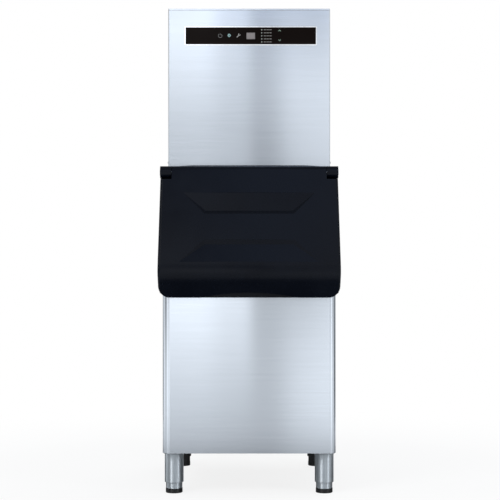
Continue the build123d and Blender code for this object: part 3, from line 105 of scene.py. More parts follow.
# Brightness of the drum: a height, then (direction, brightness) pairs.
# A direction is in degrees, 0 towards the camera and 90 on the camera's right.
drum_around = [
    (0.3, [
        (-180, 0.55), (-130, 0.15), (-114, 0.12), (-102, 1.3), (-66, 1.0), (-45, 1.2), (-35, 1.6),
        (-26, 1.2), (-18, 1.4), (18, 1.3), (36, 1.2), (46, 1.6), (56, 1.1), (74, 1.0), (86, 0.7),
        (97, 0.15), (116, 0.2), (140, 0.55), (180, 0.6),
    ]),
    (0.6, [
        (-180, 0.55), (-128, 0.4), (-100, 1.0), (-82, 0.7), (-66, 0.3), (-52, 0.6), (-42, 1.0),
        (-35, 1.2), (-27, 0.8), (-18, 1.2), (18, 1.1), (32, 0.75), (40, 0.9), (46, 1.15), (55, 0.9),
        (66, 0.7), (86, 0.5), (98, 0.25), (116, 0.35), (140, 0.55), (180, 0.6),
    ]),
    (0.95, [
        (-180, 0.55), (-128, 0.4), (-100, 0.95), (-82, 0.6), (-66, 0.2), (-52, 0.5), (-42, 0.9),
        (-35, 1.1), (-27, 0.7), (-18, 1.2), (18, 1.1), (32, 0.65), (40, 0.85), (46, 1.05), (55, 0.85),
        (66, 0.7), (86, 0.5), (98, 0.25), (116, 0.35), (140, 0.55), (180, 0.6),
    ]),
    (2.4, [
        (-180, 0.55), (-128, 0.4), (-105, 0.8), (-80, 0.4), (-45, 0.35), (-28, 0.15), (-18, 0.12),
        (18, 1.2), (46, 0.95), (64, 0.7), (88, 0.5), (112, 0.4), (140, 0.55), (180, 0.6),
    ]),
]
drum_ahead = [
    (0.14, [
        (-14, 0.9), (-11, 0.9), (-7, 0.9), (-2, 0.8), (0, 0.76), (2, 0.74), (7, 1.2), (11, 1.35),
        (14, 1.3),
    ]),
    (0.33, [
        (-14, 1.1), (-11, 1.12), (-7, 1.16), (-3, 1.06), (-0.5, 1.1), (1.2, 0.82), (3, 0.86), (7, 1.2),
        (14, 1.3),
    ]),
    (0.69, [
        (-14, 1.7), (-7, 1.8), (-3, 1.5), (-0.3, 1.45), (0.8, 0.7), (7, 0.68), (10, 0.85), (14, 1.15),
    ]),
    (1.26, [
        (-14, 0.6), (-7, 0.6), (-3, 0.58), (-0.3, 0.58), (1, 0.42), (3, 0.46), (7, 0.82), (14, 0.95),
    ]),
    (1.64, [
        (-14, 1.15), (-7, 1.2), (-3, 1.06), (-0.5, 1.06), (1, 0.86), (3, 0.96), (7, 1.36), (14, 1.3),
    ]),
    (1.95, [
        (-14, 2.0), (-7, 2.0), (-3.5, 1.3), (-0.5, 1.15), (0.9, 0.54), (6, 0.64), (9, 0.54), (14, 1.2),
    ]),
    (2.4, [(-18, 0.12), (-9, 0.4), (-3, 1.6), (6, 1.7), (18, 1.5)]),
]

# Marks on the control fascia, with (x, z) of their middles
mark_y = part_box("control_fascia")[0].y
mark_rise = 0.0003
arc_steps = 20
power_mark = (-0.1004, 1.565)
power_radius = 0.0072
power_stroke = 0.0013
power_gap_half = 35
power_bar_rise = 0.0052
power_bar_length = 0.0064
diamond_mark = (-0.0692, 1.5663)
diamond_reach = 0.0024
diamond_side = 0.0086
diamond_stroke = 0.0026
diamond_turn = 45
tool_mark = (-0.0374, 1.5653)
tool_grip = (-0.0018, -0.0020)
tool_grip_length = 0.0092
tool_grip_stroke = 0.0022
tool_grip_turn = 42
tool_jaw = (0.0030, 0.0034)
tool_jaw_radius = 0.0038
tool_jaw_stroke = 0.0017
tool_jaw_start = 80
tool_jaw_end = 365
arrow_x = 0.1052
arrow_heights = (1.583, 1.549)
arrow_reach = 0.0016
arrow_length = 0.0062
arrow_stroke = 0.0019
arrow_turn = 40

# Dashes beside the fascia's lamps
dash_rows = 5
dash_columns = 3
dash_x = 0.0545
dash_z = 1.5435
dash_row_step = 0.0105
dash_column_step = 0.0095
dash_length = 0.0078
dash_height = 0.0022

# Screws of the back and side panels. The head's side screws stand at the reach of its louvres.
screw_radius = 0.0042
screw_top_share = 0.72
screw_height = 0.0019
screw_sides = 24
slot_width = 0.0009
slot_depth = 0.0011
slot_reach_share = 1.1
back_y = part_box("cabinet_back_panel")[1].y
cabinet_side_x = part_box("cabinet_right_panel")[1].x
head_side_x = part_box("head_right_panel")[1].x
cabinet_screw_x = 0.272
head_screw_x = 0.266
cabinet_screw_z = (0.165, 0.395, 0.625, 0.855, 1.08)
head_screw_z = (1.125, 1.3, 1.465, 1.637)
side_screw_y = (-0.24, -0.05, 0.16, 0.365)
head_side_screw_y = (-0.13, 0.1, 0.36)
cabinet_foot_z = 0.16
head_foot_z = 1.13

# Brushed steel: the way the gloss is stretched is across the grain
panel_colour = (0.66, 0.70, 0.755)
panel_dark = (0.62, 0.66, 0.715)
panel_stretch = 0.95
leg_colour = (0.74, 0.80, 0.85)
leg_dark = (0.68, 0.74, 0.79)
leg_stretch = 1.0
across_level_grain = (0, 0, 1)
across_cap_grain = (0, 1, 0)
pad_top = 0.0157
pad_colour = (0.008, 0.008, 0.009)

# Zinc-coated sheet, foam, and the fascia's moulding, rim, pane and inks
zinc_colour = (0.56, 0.58, 0.60)
zinc_dark = (0.50, 0.52, 0.54)
zinc_light = (0.62, 0.64, 0.66)
foam_colour = (0.80, 0.70, 0.44)
foam_dark = (0.70, 0.60, 0.36)
foam_light = (0.86, 0.78, 0.54)
fascia_colour = (0.0036, 0.0016, 0.0011)
trim_colour = (0.93, 0.94, 0.96)
display_colour = (0.19, 0.17, 0.17)
display_dark = (0.17, 0.15, 0.15)
display_light = (0.23, 0.205, 0.205)
power_ink = (0.20, 0.20, 0.20)
diamond_ink = (0.42, 0.66, 0.66)
tool_ink = (0.44, 0.44, 0.43)
arrow_ink = (0.26, 0.36, 0.29)
dash_ink = (0.24, 0.23, 0.22)
worn_ink_share = 0.8

# Plastics: slot, material, colour, lighter colour, roughness, specular level
plastics = [
    ("door_black", "door_plastic", (0.0020, 0.0030, 0.0062), (0.0026, 0.0040, 0.0082), 0.27, 0.1),
    ("liner_white", "liner_plastic", (0.78, 0.80, 0.82), (0.84, 0.86, 0.87), 0.4, 0.5),
    ("curtain_clear", "curtain_plastic", (0.66, 0.74, 0.80), (0.74, 0.80, 0.85), 0.3, 0.5),
    ("bushing_plastic", "bushing_plastic", (0.6, 0.6, 0.56), (0.68, 0.68, 0.64), 0.45, 0.5),
    ("lamp_lens", "lamp_lens", (0.26, 0.28, 0.26), (0.34, 0.36, 0.34), 0.25, 0.4),
    ("electrics_black", "black_moulding", (0.018, 0.018, 0.02), (0.03, 0.03, 0.033), 0.5, 0.4),
    ("pipe_grey", "grey_pipe", (0.30, 0.31, 0.32), (0.36, 0.37, 0.38), 0.45, 0.5),
    ("valve_plastic", "valve_plastic", (0.55, 0.56, 0.54), (0.62, 0.63, 0.61), 0.42, 0.5),
]

# Bare metals: slot, material, colour, darker colour, roughness, mottles a metre on each axis
metals = [
    ("pin_steel", "turned_steel", (0.62, 0.63, 0.65), (0.5, 0.51, 0.53), 0.25, (9, 900, 900)),
    ("evaporator_tin", "tinned_grid", (0.80, 0.80, 0.80), (0.62, 0.63, 0.64), 0.3, (80, 80, 80)),
    ("copper", "copper_tube", (0.78, 0.42, 0.28), (0.55, 0.27, 0.17), 0.3, (60, 60, 60)),
    ("coil_aluminium", "coil_fins", (0.74, 0.75, 0.76), (0.6, 0.61, 0.62), 0.35, (700, 90, 90)),
]

# Enamels, and the black of the legs in shade: slot, material, colour, lighter colour
enamels = [
    # The rear legs and the leg plates are near black as painted shade, for the dark under the machine
    # where they stand.
    ("leg_black", "rear_leg_painted_shade", (0.006, 0.006, 0.007), (0.011, 0.011, 0.012)),
    ("leg_plate_black", "leg_plate_painted_shade", (0.006, 0.006, 0.007), (0.012, 0.012, 0.013)),
    ("compressor_black", "compressor_enamel", (0.012, 0.012, 0.013), (0.022, 0.022, 0.024)),
    ("motor_grey", "motor_enamel", (0.16, 0.17, 0.18), (0.21, 0.22, 0.23)),
]

# Rubbers: slot, material, colour, lighter colour
rubbers = [
    ("gasket_rubber", "gasket_rubber", (0.014, 0.014, 0.015), (0.028, 0.028, 0.03)),
    ("hose_white", "pale_hose", (0.56, 0.57, 0.55), (0.66, 0.67, 0.65)),
]


# Node building

def opaque(colour):
    """A colour with its alpha."""
    return (*colour, 1.0)


def put(tree, target, value):
    """Join an output to an input, or set the input to a value."""
    if isinstance(value, bpy.types.NodeSocket):
        tree.links.new(value, target)
    else:
        target.default_value = value


def arithmetic(tree, operation, first, second):
    """One Math node on two numbers or outputs."""
    made = tree.nodes.new("ShaderNodeMath")
    made.operation = operation
    put(tree, made.inputs[0], first)
    put(tree, made.inputs[1], second)
    return made.outputs["Value"]


def vector(tree, x, y, z):
    """A vector from three numbers or outputs."""
    made = tree.nodes.new("ShaderNodeCombineXYZ")
    for place, value in enumerate((x, y, z)):
        put(tree, made.inputs[place], value)
    return made.outputs["Vector"]


def object_place(tree):
    """The place of a point on its object."""
    return tree.nodes.new("ShaderNodeTexCoord").outputs["Object"]


def split(tree, where):
    """The X, Y and Z of a place."""
    parts = tree.nodes.new("ShaderNodeSeparateXYZ")
    tree.links.new(where, parts.inputs["Vector"])
    return parts.outputs


def distance(tree, where):
    """How far a place lies from the origin."""
    made = tree.nodes.new("ShaderNodeVectorMath")
    made.operation = "LENGTH"
    tree.links.new(where, made.inputs[0])
    return made.outputs["Value"]


def mix(tree, share, first, second, kind="FLOAT"):
    """A value or colour that goes from the first to the second by a share from 0 to 1."""
    mixed = tree.nodes.new("ShaderNodeMix")
    mixed.data_type = kind
    put(tree, mixed.inputs["Factor"], share)
    put(tree, mixed.inputs["A"], first)
    put(tree, mixed.inputs["B"], second)
    return mixed.outputs["Result"]


def carry(tree, value, start, end, low=0.0, high=1.0, way="SMOOTHSTEP"):
    """A value carried from start..end to low..high."""
    carried = tree.nodes.new("ShaderNodeMapRange")
    carried.interpolation_type = way
    tree.links.new(value, carried.inputs["Value"])
    carried.inputs["From Min"].default_value = start
    carried.inputs["From Max"].default_value = end
    carried.inputs["To Min"].default_value = low
    carried.inputs["To Max"].default_value = high
    return carried.outputs["Result"]


# Material building

class Finish:
    """A material being made: patterns that steer its one shader."""

    def __init__(self, name, colour, roughness, metallic=0.0, **constants):
        self.material = bpy.data.materials.new(name)
        self.material.use_nodes = True
        self.material.diffuse_color = opaque(colour)
        self.tree = self.material.node_tree
        self.shader = self.tree.nodes["Principled BSDF"]
        self.set("Base Color", opaque(colour))
        self.set("Roughness", roughness)
        self.set("Metallic", metallic)
        for words, value in constants.items():
            self.set(words.replace("_", " ").title().replace("Ior", "IOR"), value)

    def set(self, socket, value):
        """Fix one of the shader's own values, or steer it by an output."""
        put(self.tree, self.shader.inputs[socket], value)

    def place(self, cells):
        """Object coordinates with that many cells a metre, on all axes or on each."""
        scale = cells if isinstance(cells, tuple) else (cells, cells, cells)
        mapping = self.tree.nodes.new("ShaderNodeMapping")
        mapping.inputs["Scale"].default_value = scale
        self.tree.links.new(object_place(self.tree), mapping.inputs["Vector"])
        return mapping.outputs["Vector"]

    def noise(self, cells, detail=2.0, roughness=0.5):
        """A noise pattern with that many cells a metre; most of it lies between 0.3 and 0.7."""
        pattern = self.tree.nodes.new("ShaderNodeTexNoise")
        pattern.inputs["Scale"].default_value = 1.0
        pattern.inputs["Detail"].default_value = detail
        pattern.inputs["Roughness"].default_value = roughness
        self.tree.links.new(self.place(cells), pattern.inputs["Vector"])
        return pattern.outputs["Fac"]

    def spread(self, pattern, low=0.0, high=1.0, start=0.3, end=0.7):
        """A pattern carried evenly from start..end to low..high."""
        return carry(self.tree, pattern, start, end, low, high, "LINEAR")

    def tint(self, share, first, second):
        """Base colour between two colours, by a share from 0 to 1."""
        self.set("Base Color", mix(self.tree, share, opaque(first), opaque(second), "RGBA"))

    def vary_roughness(self, pattern, low, high):
        """Roughness between two values, by a pattern."""
        self.set("Roughness", self.spread(pattern, low, high))

    def bump(self, height, depth, strength=1.0):
        """Relief of that depth in metres from a height pattern."""
        relief = self.tree.nodes.new("ShaderNodeBump")
        relief.inputs["Strength"].default_value = strength
        relief.inputs["Distance"].default_value = depth
        self.tree.links.new(height, relief.inputs["Height"])
        self.set("Normal", relief.outputs["Normal"])


def brushed_steel(name, colour, dark, roughness, fine_cells, streak_cells, across, stretch):
    """Stainless sheet with a fine straight grain and a few longer streaks."""
    finish = Finish(name, colour, roughness, metallic=1.0, anisotropic=stretch)
    fine = finish.noise(fine_cells, detail=3.0, roughness=0.65)
    streak = finish.noise(streak_cells)
    fine_share = finish.spread(fine, high=0.55)
    streak_share = finish.spread(streak, high=0.45)
    finish.tint(arithmetic(finish.tree, "ADD", fine_share, streak_share), dark, colour)
    finish.vary_roughness(fine, roughness - 0.04, roughness + 0.04)
    finish.bump(fine, depth=0.00002, strength=0.3)
    finish.set("Tangent", vector(finish.tree, *across))
    return finish


def panel_steel():
    """Steel of the front and side panels, its grain level."""
    return brushed_steel(
        "panel_steel", panel_colour, panel_dark, roughness=0.17, fine_cells=(5, 5, 1500),
        streak_cells=(3.5, 3.5, 95), across=across_level_grain, stretch=panel_stretch,
    )


def cap_steel():
    """Steel of the top cap, its grain across the machine."""
    return brushed_steel(
        "cap_steel", panel_colour, panel_dark, roughness=0.2, fine_cells=(5, 1500, 1500),
        streak_cells=(3.5, 95, 95), across=across_cap_grain, stretch=panel_stretch,
    )


def tube_steel(name):
    """Steel of the legs, its grain round the tube."""
    return brushed_steel(
        name, leg_colour, leg_dark, roughness=0.38, fine_cells=(12, 12, 1800),
        streak_cells=(9, 9, 160), across=across_level_grain, stretch=leg_stretch,
    )


def foot_steel():
    """Steel of the feet's tubes, over a black moulded pad at the floor."""
    finish = tube_steel("foot_tube")
    height = split(finish.tree, object_place(finish.tree))["Z"]
    tube = arithmetic(finish.tree, "GREATER_THAN", height, pad_top)
    steel = finish.shader.inputs["Base Color"].links[0].from_socket
    finish.set("Base Color", mix(finish.tree, tube, opaque(pad_colour), steel, "RGBA"))
    finish.set("Metallic", tube)
    return finish


def zinc_sheet():
    """Zinc-coated sheet with a faint crystal pattern."""
    finish = Finish("zinc_sheet", zinc_colour, roughness=0.42, metallic=0.9)
    crystals = finish.tree.nodes.new("ShaderNodeTexVoronoi")
    crystals.inputs["Scale"].default_value = 1.0
    finish.tree.links.new(finish.place(110), crystals.inputs["Vector"])
    share = finish.spread(crystals.outputs["Distance"], start=0.0, end=0.8)
    finish.tint(share, zinc_dark, zinc_light)
    finish.vary_roughness(share, low=0.36, high=0.5)
    return finish


def moulded_plastic(name, colour, light, roughness, specular):
    """Moulded plastic with a fine pebbled skin."""
    finish = Finish(name, colour, roughness, specular_ior_level=specular)
    skin = finish.noise(900, detail=3.0)
    cloud = finish.noise(7, detail=3.0)
    finish.tint(finish.spread(cloud), colour, light)
    finish.vary_roughness(cloud, roughness - 0.04, roughness + 0.05)
    finish.bump(skin, depth=0.00003, strength=0.5)
    return finish


def foam():
    """Foamed insulation, full of small cells."""
    finish = Finish("foam", foam_colour, roughness=0.9)
    cells = finish.noise(420, detail=4.0)
    finish.tint(finish.spread(cells), foam_dark, foam_light)
    finish.bump(cells, depth=0.0006)
    return finish


def soft_rubber(name, colour, light):
    """Soft rubber, dull and slightly dusty."""
    finish = Finish(name, colour, roughness=0.72)
    dust = finish.noise(60, detail=4.0)
    finish.tint(finish.spread(dust), colour, light)
    finish.bump(finish.noise(700), depth=0.00006, strength=0.6)
    return finish


def worn_metal(name, colour, dark, roughness, cells):
    """Bare or plated metal with a mottled sheen."""
    finish = Finish(name, colour, roughness, metallic=1.0)
    mottle = finish.noise(cells, detail=4.0)
    finish.tint(finish.spread(mottle), dark, colour)
    finish.vary_roughness(mottle, roughness - 0.06, roughness + 0.08)
    return finish


def enamel(name, colour, light):
    """Sprayed enamel with orange peel; it also gives the rear legs and leg plates their black of
    painted shade.
    """
    finish = Finish(name, colour, roughness=0.34, coat_weight=0.3)
    peel = finish.noise(260)
    finish.tint(finish.spread(finish.noise(12)), colour, light)
    finish.bump(peel, depth=0.00012, strength=0.4)
    return finish


def display_glass():
    """Grey display pane with its faint grid of cells."""
    finish = Finish("display_pane", display_colour, roughness=0.22)
    cells = finish.noise(900, detail=1.0)
    finish.tint(finish.spread(cells), display_dark, display_light)
    return finish


def fascia_gloss():
    """Glossy brown-black moulding of the control fascia."""
    finish = Finish("fascia_gloss", fascia_colour, roughness=0.16, specular_ior_level=0.06)
    finish.vary_roughness(finish.noise(45, detail=3.0), low=0.12, high=0.2)
    return finish


def bright_trim():
    """Bright plated rim of the fascia."""
    finish = Finish("bright_trim", trim_colour, roughness=0.16, metallic=1.0)
    finish.vary_roughness(finish.noise(90, detail=3.0), low=0.12, high=0.22)
    return finish


def mark_paint(name, colour):
    """Printed ink, a little uneven."""
    finish = Finish(name, colour, roughness=0.5, specular_ior_level=0.2)
    worn = tuple(worn_ink_share * part for part in colour)
    finish.tint(finish.spread(finish.noise(1500)), worn, colour)
    return finish.material


def slot_finishes():
    """The material of each slot in the record."""
    finishes = {
        "stainless_panel": panel_steel(),
        "galvanised_sheet": zinc_sheet(),
        "foam": foam(),
        "leg_steel": tube_steel("leg_tube"),
        "foot_steel": foot_steel(),
        "fascia_black": fascia_gloss(),
        "fascia_trim": bright_trim(),
        "display_grey": display_glass(),
    }
    makers = {moulded_plastic: plastics, worn_metal: metals, enamel: enamels, soft_rubber: rubbers}
    for make, rows in makers.items():
        for slot, *facts in rows:
            finishes[slot] = make(*facts)
    return {slot: finish.material for slot, finish in finishes.items()}


def dress_nodes(materials):
    """Give each CAD node the material of its slot, and the top cap its own."""
    for row in frame["record"]["subparts"]:
        mesh = frame["nodes"][row["node"]].data
        for place in range(len(mesh.materials)):
            mesh.materials[place] = materials[row["material_slot"]]
    frame["nodes"]["head_top_panel"].data.materials[0] = cap_steel().material


# Pieces that the solids don't hold

def show(name, mesh, material):
    """A new piece of the machine's body."""
    mesh.materials.clear()
    mesh.materials.append(material)
    piece = bpy.data.objects.new(name, mesh)
    bpy.context.scene.collection.objects.link(piece)
    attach(piece, "machine")


def slab(form, outline):
    """A thin raised shape on the fascia, from its outline as (x, z) corners."""
    front = [form.verts.new((x, mark_y - mark_rise, z)) for x, z in outline]
    back = [form.verts.new((x, mark_y, z)) for x, z in outline]
    form.faces.new(front)
    form.faces.new(back)
    for place in range(len(outline)):
        after = (place + 1) % len(outline)
        form.faces.new((front[place], front[after], back[after], back[place]))


def arc(middle, radius, start, end):
    """Corners along an arc, in degrees from straight up."""
    corners = []
    for step in range(arc_steps + 1):
        turn = math.radians(start + (end - start) * step / arc_steps)
        corners.append((middle[0] + radius * math.sin(turn), middle[1] + radius * math.cos(turn)))
    return corners


def open_ring(middle, radius, width, start, end):
    """Outline of a ring with a gap."""
    return arc(middle, radius, start, end) + arc(middle, radius - width, end, start)


def bar(middle, length, width, degrees):
    """Outline of a straight bar, turned from straight up."""
    turn = math.radians(degrees)
    along = Vector((math.sin(turn), math.cos(turn))) * length / 2
    aside = Vector((math.cos(turn), -math.sin(turn))) * width / 2
    corners = (along + aside, aside - along, -along - aside, along - aside)
    return [(middle[0] + corner.x, middle[1] + corner.y) for corner in corners]


def marks(name, outlines, material):
    """Raised marks of one colour."""
    form = bmesh.new()
    for outline in outlines:
        slab(form, outline)
    bmesh.ops.recalc_face_normals(form, faces=form.faces)
    mesh = bpy.data.meshes.new(name)
    form.to_mesh(mesh)
    form.free()
    show(name, mesh, material)


def power():
    """Power mark: an open ring and its upright bar."""
    x, z = power_mark
    ring = open_ring(power_mark, power_radius, power_stroke, power_gap_half, full_turn - power_gap_half)
    upright = bar((x, z + power_bar_rise), power_bar_length, power_stroke, 0)
    marks("power_mark", [ring, upright], mark_paint("dim_mark_paint", power_ink))


def diamond():
    """A diamond of four bars."""
    x, z = diamond_mark
    bars = []
    for side, top in ((-1, -1), (-1, 1), (1, -1), (1, 1)):
        middle = (x + diamond_reach * side, z + diamond_reach * top)
        bars.append(bar(middle, diamond_side, diamond_stroke, -diamond_turn * side * top))
    marks("diamond_mark", bars, mark_paint("cyan_mark_paint", diamond_ink))


def tool():
    """Tool mark: a slanted grip and its open jaw."""
    x, z = tool_mark
    grip_middle = (x + tool_grip[0], z + tool_grip[1])
    grip = bar(grip_middle, tool_grip_length, tool_grip_stroke, tool_grip_turn)
    jaw_middle = (x + tool_jaw[0], z + tool_jaw[1])
    jaw = open_ring(jaw_middle, tool_jaw_radius, tool_jaw_stroke, tool_jaw_start, tool_jaw_end)
    marks("tool_mark", [grip, jaw], mark_paint("pale_mark_paint", tool_ink))


def arrows():
    """An up and a down mark, two bars each."""
    bars = []
    for height, way in zip(arrow_heights, (1, -1)):
        for side in (-1, 1):
            middle = (arrow_x + arrow_reach * side, height)
            bars.append(bar(middle, arrow_length, arrow_stroke, -arrow_turn * side * way))
    marks("arrow_marks", bars, mark_paint("green_mark_paint", arrow_ink))


class Rule:
    """A Geometry Nodes tree being made, for a shape that repeats."""

    def __init__(self, name, sizes):
        self.tree = bpy.data.node_groups.new(name, "GeometryNodeTree")
        self.sizes = sizes
        self.sockets = {}
        face = self.tree.interface
        face.new_socket("Geometry", in_out="INPUT", socket_type="NodeSocketGeometry")
        for words, value in sizes.items():
            kind = "NodeSocketInt" if isinstance(value, int) else "NodeSocketFloat"
            self.sockets[words] = face.new_socket(words, in_out="INPUT", socket_type=kind).identifier
        face.new_socket("Geometry", in_out="OUTPUT", socket_type="NodeSocketGeometry")
        self.given = self.tree.nodes.new("NodeGroupInput").outputs
        self.result = self.tree.nodes.new("NodeGroupOutput").inputs["Geometry"]

    def add(self, kind, settings=None, **inputs):
        """The outputs of a new node; each of its inputs is a value, or an output to join to it."""
        made = self.tree.nodes.new(kind)
        for name, value in (settings or {}).items():
            setattr(made, name, value)
        for words, value in inputs.items():
            put(self.tree, made.inputs[words.replace("_", " ").title()], value)
        return made.outputs

    def times(self, size, factor):
        """A named size times a factor."""
        return arithmetic(self.tree, "MULTIPLY", size, factor)

    def vector(self, x, y, z):
        """A vector from numbers or sizes."""
        return vector(self.tree, x, y, z)

    def solid(self, operation, cutters, body=None):
        """Cutters joined to one solid, or taken out of a body."""
        made = self.tree.nodes.new("GeometryNodeMeshBoolean")
        made.operation = operation
        if body is not None:
            self.tree.links.new(body, made.inputs["Mesh 1"])
        for cutter in cutters:
            self.tree.links.new(cutter, made.inputs["Mesh 2"])
        return made.outputs["Mesh"]

    def copies(self, points, piece, **inputs):
        """A piece at each of the points."""
        made = self.add("GeometryNodeInstanceOnPoints", Points=points, Instance=piece, **inputs)
        return made["Instances"]

    def line(self, count, *step):
        """Points in a line, one step apart."""
        return self.add("GeometryNodeMeshLine", Count=count, Offset=self.vector(*step))["Mesh"]

    def end(self, geometry, material):
        """Close the tree with real geometry and its material."""
        real = self.add("GeometryNodeRealizeInstances", Geometry=geometry)["Geometry"]
        dressed = self.add("GeometryNodeSetMaterial", Geometry=real, Material=material)["Geometry"]
        self.tree.links.new(dressed, self.result)

    def mesh(self, name, start):
        """The plain mesh that the tree makes of a start mesh."""
        holder = bpy.data.objects.new(name, start)
        bpy.context.scene.collection.objects.link(holder)
        modifier = holder.modifiers.new(self.tree.name, "NODES")
        modifier.node_group = self.tree
        for words, value in self.sizes.items():
            modifier[self.sockets[words]] = value
        seen = holder.evaluated_get(bpy.context.evaluated_depsgraph_get())
        made = bpy.data.meshes.new_from_object(seen)
        bpy.data.objects.remove(holder)
        made.name = name
        return made


def point_mesh(name, places):
    """A mesh of loose points."""
    points = bpy.data.meshes.new(name)
    points.from_pydata(places, [], [])
    return points


def screw_places():
    """Place and direction of each screw of the back and side panels."""
    places = []
    for side in (-1, 1):
        for z in cabinet_screw_z:
            places.append(((side * cabinet_screw_x, back_y, z), (0, 1, 0)))
        for z in head_screw_z:
            places.append(((side * head_screw_x, back_y, z), (0, 1, 0)))
        for y in side_screw_y:
            places.append(((side * cabinet_side_x, y, cabinet_foot_z), (side, 0, 0)))
        for y in head_side_screw_y:
            places.append(((side * head_side_x, y, head_foot_z), (side, 0, 0)))
    return places


def screw_head(rule):
    """A low cone with a cross cut into its top; the cutters' lower halves reach into it."""
    given = rule.given
    cone = rule.add(
        "GeometryNodeMeshCone", Vertices=given["Sides"], Radius_Bottom=given["Head Radius"],
        Radius_Top=rule.times(given["Head Radius"], screw_top_share), Depth=given["Head Height"],
    )["Mesh"]
    reach = rule.times(given["Head Radius"], slot_reach_share)
    deep = rule.times(given["Slot Depth"], 2.0)
    raised = rule.vector(0.0, 0.0, given["Head Height"])
    cuts = []
    for length, width in ((reach, given["Slot Width"]), (given["Slot Width"], reach)):
        cube = rule.add("GeometryNodeMeshCube", Size=rule.vector(length, width, deep))["Mesh"]
        cuts.append(rule.add("GeometryNodeTransform", Geometry=cube, Translation=raised)["Geometry"])
    return rule.solid("DIFFERENCE", [rule.solid("UNION", cuts)], cone)


def screws(steel):
    """Cross-slotted screws that hold the back and side panels."""
    places = screw_places()
    start = point_mesh("screw_places", [place for place, _ in places])
    facing = start.attributes.new("facing", "FLOAT_VECTOR", "POINT")
    for row, (_, way) in zip(facing.data, places):
        row.vector = way
    rule = Rule("panel_screws", {
        "Head Radius": screw_radius, "Head Height": screw_height, "Sides": screw_sides,
        "Slot Width": slot_width, "Slot Depth": slot_depth,
    })
    named = rule.add("GeometryNodeInputNamedAttribute", {"data_type": "FLOAT_VECTOR"}, Name="facing")
    turn = rule.add("FunctionNodeAlignRotationToVector", {"axis": "Z"}, Vector=named["Attribute"])
    rule.end(rule.copies(rule.given["Geometry"], screw_head(rule), Rotation=turn["Rotation"]), steel)
    show("panel_screws", rule.mesh("panel_screws", start), steel)


def dashes():
    """Rows of short dashes beside the lamps, half sunk into the fascia's face."""
    ink = mark_paint("dash_paint", dash_ink)
    rule = Rule("dash_rows", {
        "Rows": dash_rows, "Columns": dash_columns, "Row Step": dash_row_step,
        "Column Step": dash_column_step, "Dash Length": dash_length, "Dash Height": dash_height,
        "Rise": 2 * mark_rise,
    })
    given = rule.given
    size = rule.vector(given["Dash Length"], given["Rise"], given["Dash Height"])
    dash = rule.add("GeometryNodeMeshCube", Size=size)["Mesh"]
    row = rule.copies(rule.line(given["Columns"], given["Column Step"], 0.0, 0.0), dash)
    block = rule.copies(rule.line(given["Rows"], 0.0, 0.0, given["Row Step"]), row)
    rule.end(rule.copies(given["Geometry"], block), ink)
    start = point_mesh("dash_place", [(dash_x, mark_y, dash_z)])
    show("lamp_dashes", rule.mesh("lamp_dashes", start), ink)


# Stage

def seen_directly(tree):
    """1 where the camera, a gloss or a clear pane looks, 0 for the light that falls on things."""
    paths = tree.nodes.new("ShaderNodeLightPath")
    seen = paths.outputs["Is Camera Ray"]
    for kind in ("Is Glossy Ray", "Is Transmission Ray"):
        seen = arithmetic(tree, "MAXIMUM", seen, paths.outputs[kind])
    return seen


def mix_shaders(tree, share, first, second, result):
    """The end of a material or world: the first shader, and the second by a share from 0 to 1."""
    mixed = tree.nodes.new("ShaderNodeMixShader")
    tree.links.new(share, mixed.inputs["Fac"])
    tree.links.new(first, mixed.inputs[1])
    tree.links.new(second, mixed.inputs[2])
    tree.links.new(mixed.outputs["Shader"], tree.nodes[result].inputs["Surface"])


def world():
    """White wherever the camera or a gloss looks past the machine, and soft light elsewhere."""
    made = bpy.data.worlds.new("studio")
    made.use_nodes = True
    tree = made.node_tree
    light = tree.nodes["Background"]
    light.inputs["Color"].default_value = opaque(world_colour)
    light.inputs["Strength"].default_value = world_light
    white = tree.nodes.new("ShaderNodeBackground")
    white.inputs["Color"].default_value = (1, 1, 1, 1)
    seen = seen_directly(tree)
    mix_shaders(tree, seen, light.outputs["Background"], white.outputs["Background"], "World Output")
    bpy.context.scene.world = made


def floor_finish():
    """Pale floor that fades to the background's white away from the machine."""
    finish = Finish("pale_floor", floor_colour, floor_roughness, specular_ior_level=floor_specular)
    tree = finish.tree
    away = distance(tree, object_place(tree))
    fade = carry(tree, away, floor_fade_near, floor_fade_far, floor_white, 1.0)
    white = tree.nodes.new("ShaderNodeEmission")
    share = arithmetic(tree, "MULTIPLY", fade, seen_directly(tree))
    plain = finish.shader.outputs["BSDF"]
    mix_shaders(tree, share, plain, white.outputs["Emission"], "Material Output")
    return finish.material


def stage_sheet(name, corners, faces, material):
    """A sheet of the stage, from its corners and faces."""
    mesh = bpy.data.meshes.new(name)
    mesh.from_pydata(corners, [], faces)
    mesh.materials.append(material)
    sheet = bpy.data.objects.new(name, mesh)
    bpy.context.scene.collection.objects.link(sheet)
    return sheet


def floor():
    """The floor under the machine."""
    half = floor_half
    corners = [(-half, -half, 0), (half, -half, 0), (half, half, 0), (-half, half, 0)]
    stage_sheet("floor", corners, [(0, 1, 2, 3)], floor_finish())


def ramp(tree, value, stops):
    """A smooth curve through (place, brightness) stops, as a share of the brightest."""
    curve = tree.nodes.new("ShaderNodeFloatCurve")
    tree.links.new(value, curve.inputs["Value"])
    points = curve.mapping.curves[0].points
    while len(points) < len(stops):
        points.new(0.5, 0.5)
    for point, (place, brightness) in zip(points, stops):
        point.location = (place, brightness / brightest)
        point.handle_type = "AUTO_CLAMPED"
    curve.mapping.update()
    return curve.outputs["Value"]


class Glow:
    """A material being made that gives light."""

    def __init__(self, name):
        self.material = bpy.data.materials.new(name)
        self.material.use_nodes = True
        self.tree = self.material.node_tree
        self.light = self.tree.nodes.new("ShaderNodeEmission")
        self.set("Color", opaque(drum_colour))
        surface = self.tree.nodes["Material Output"].inputs["Surface"]
        self.tree.links.new(self.light.outputs["Emission"], surface)

    def set(self, socket, value):
        """Fix the light's colour or strength, or steer it by an output."""
        put(self.tree, self.light.inputs[socket], value)


def to_places(stops, span):
    """Turn directions in degrees into places on a curve that is span degrees wide."""
    return [(0.5 + degrees / span, brightness) for degrees, brightness in stops]


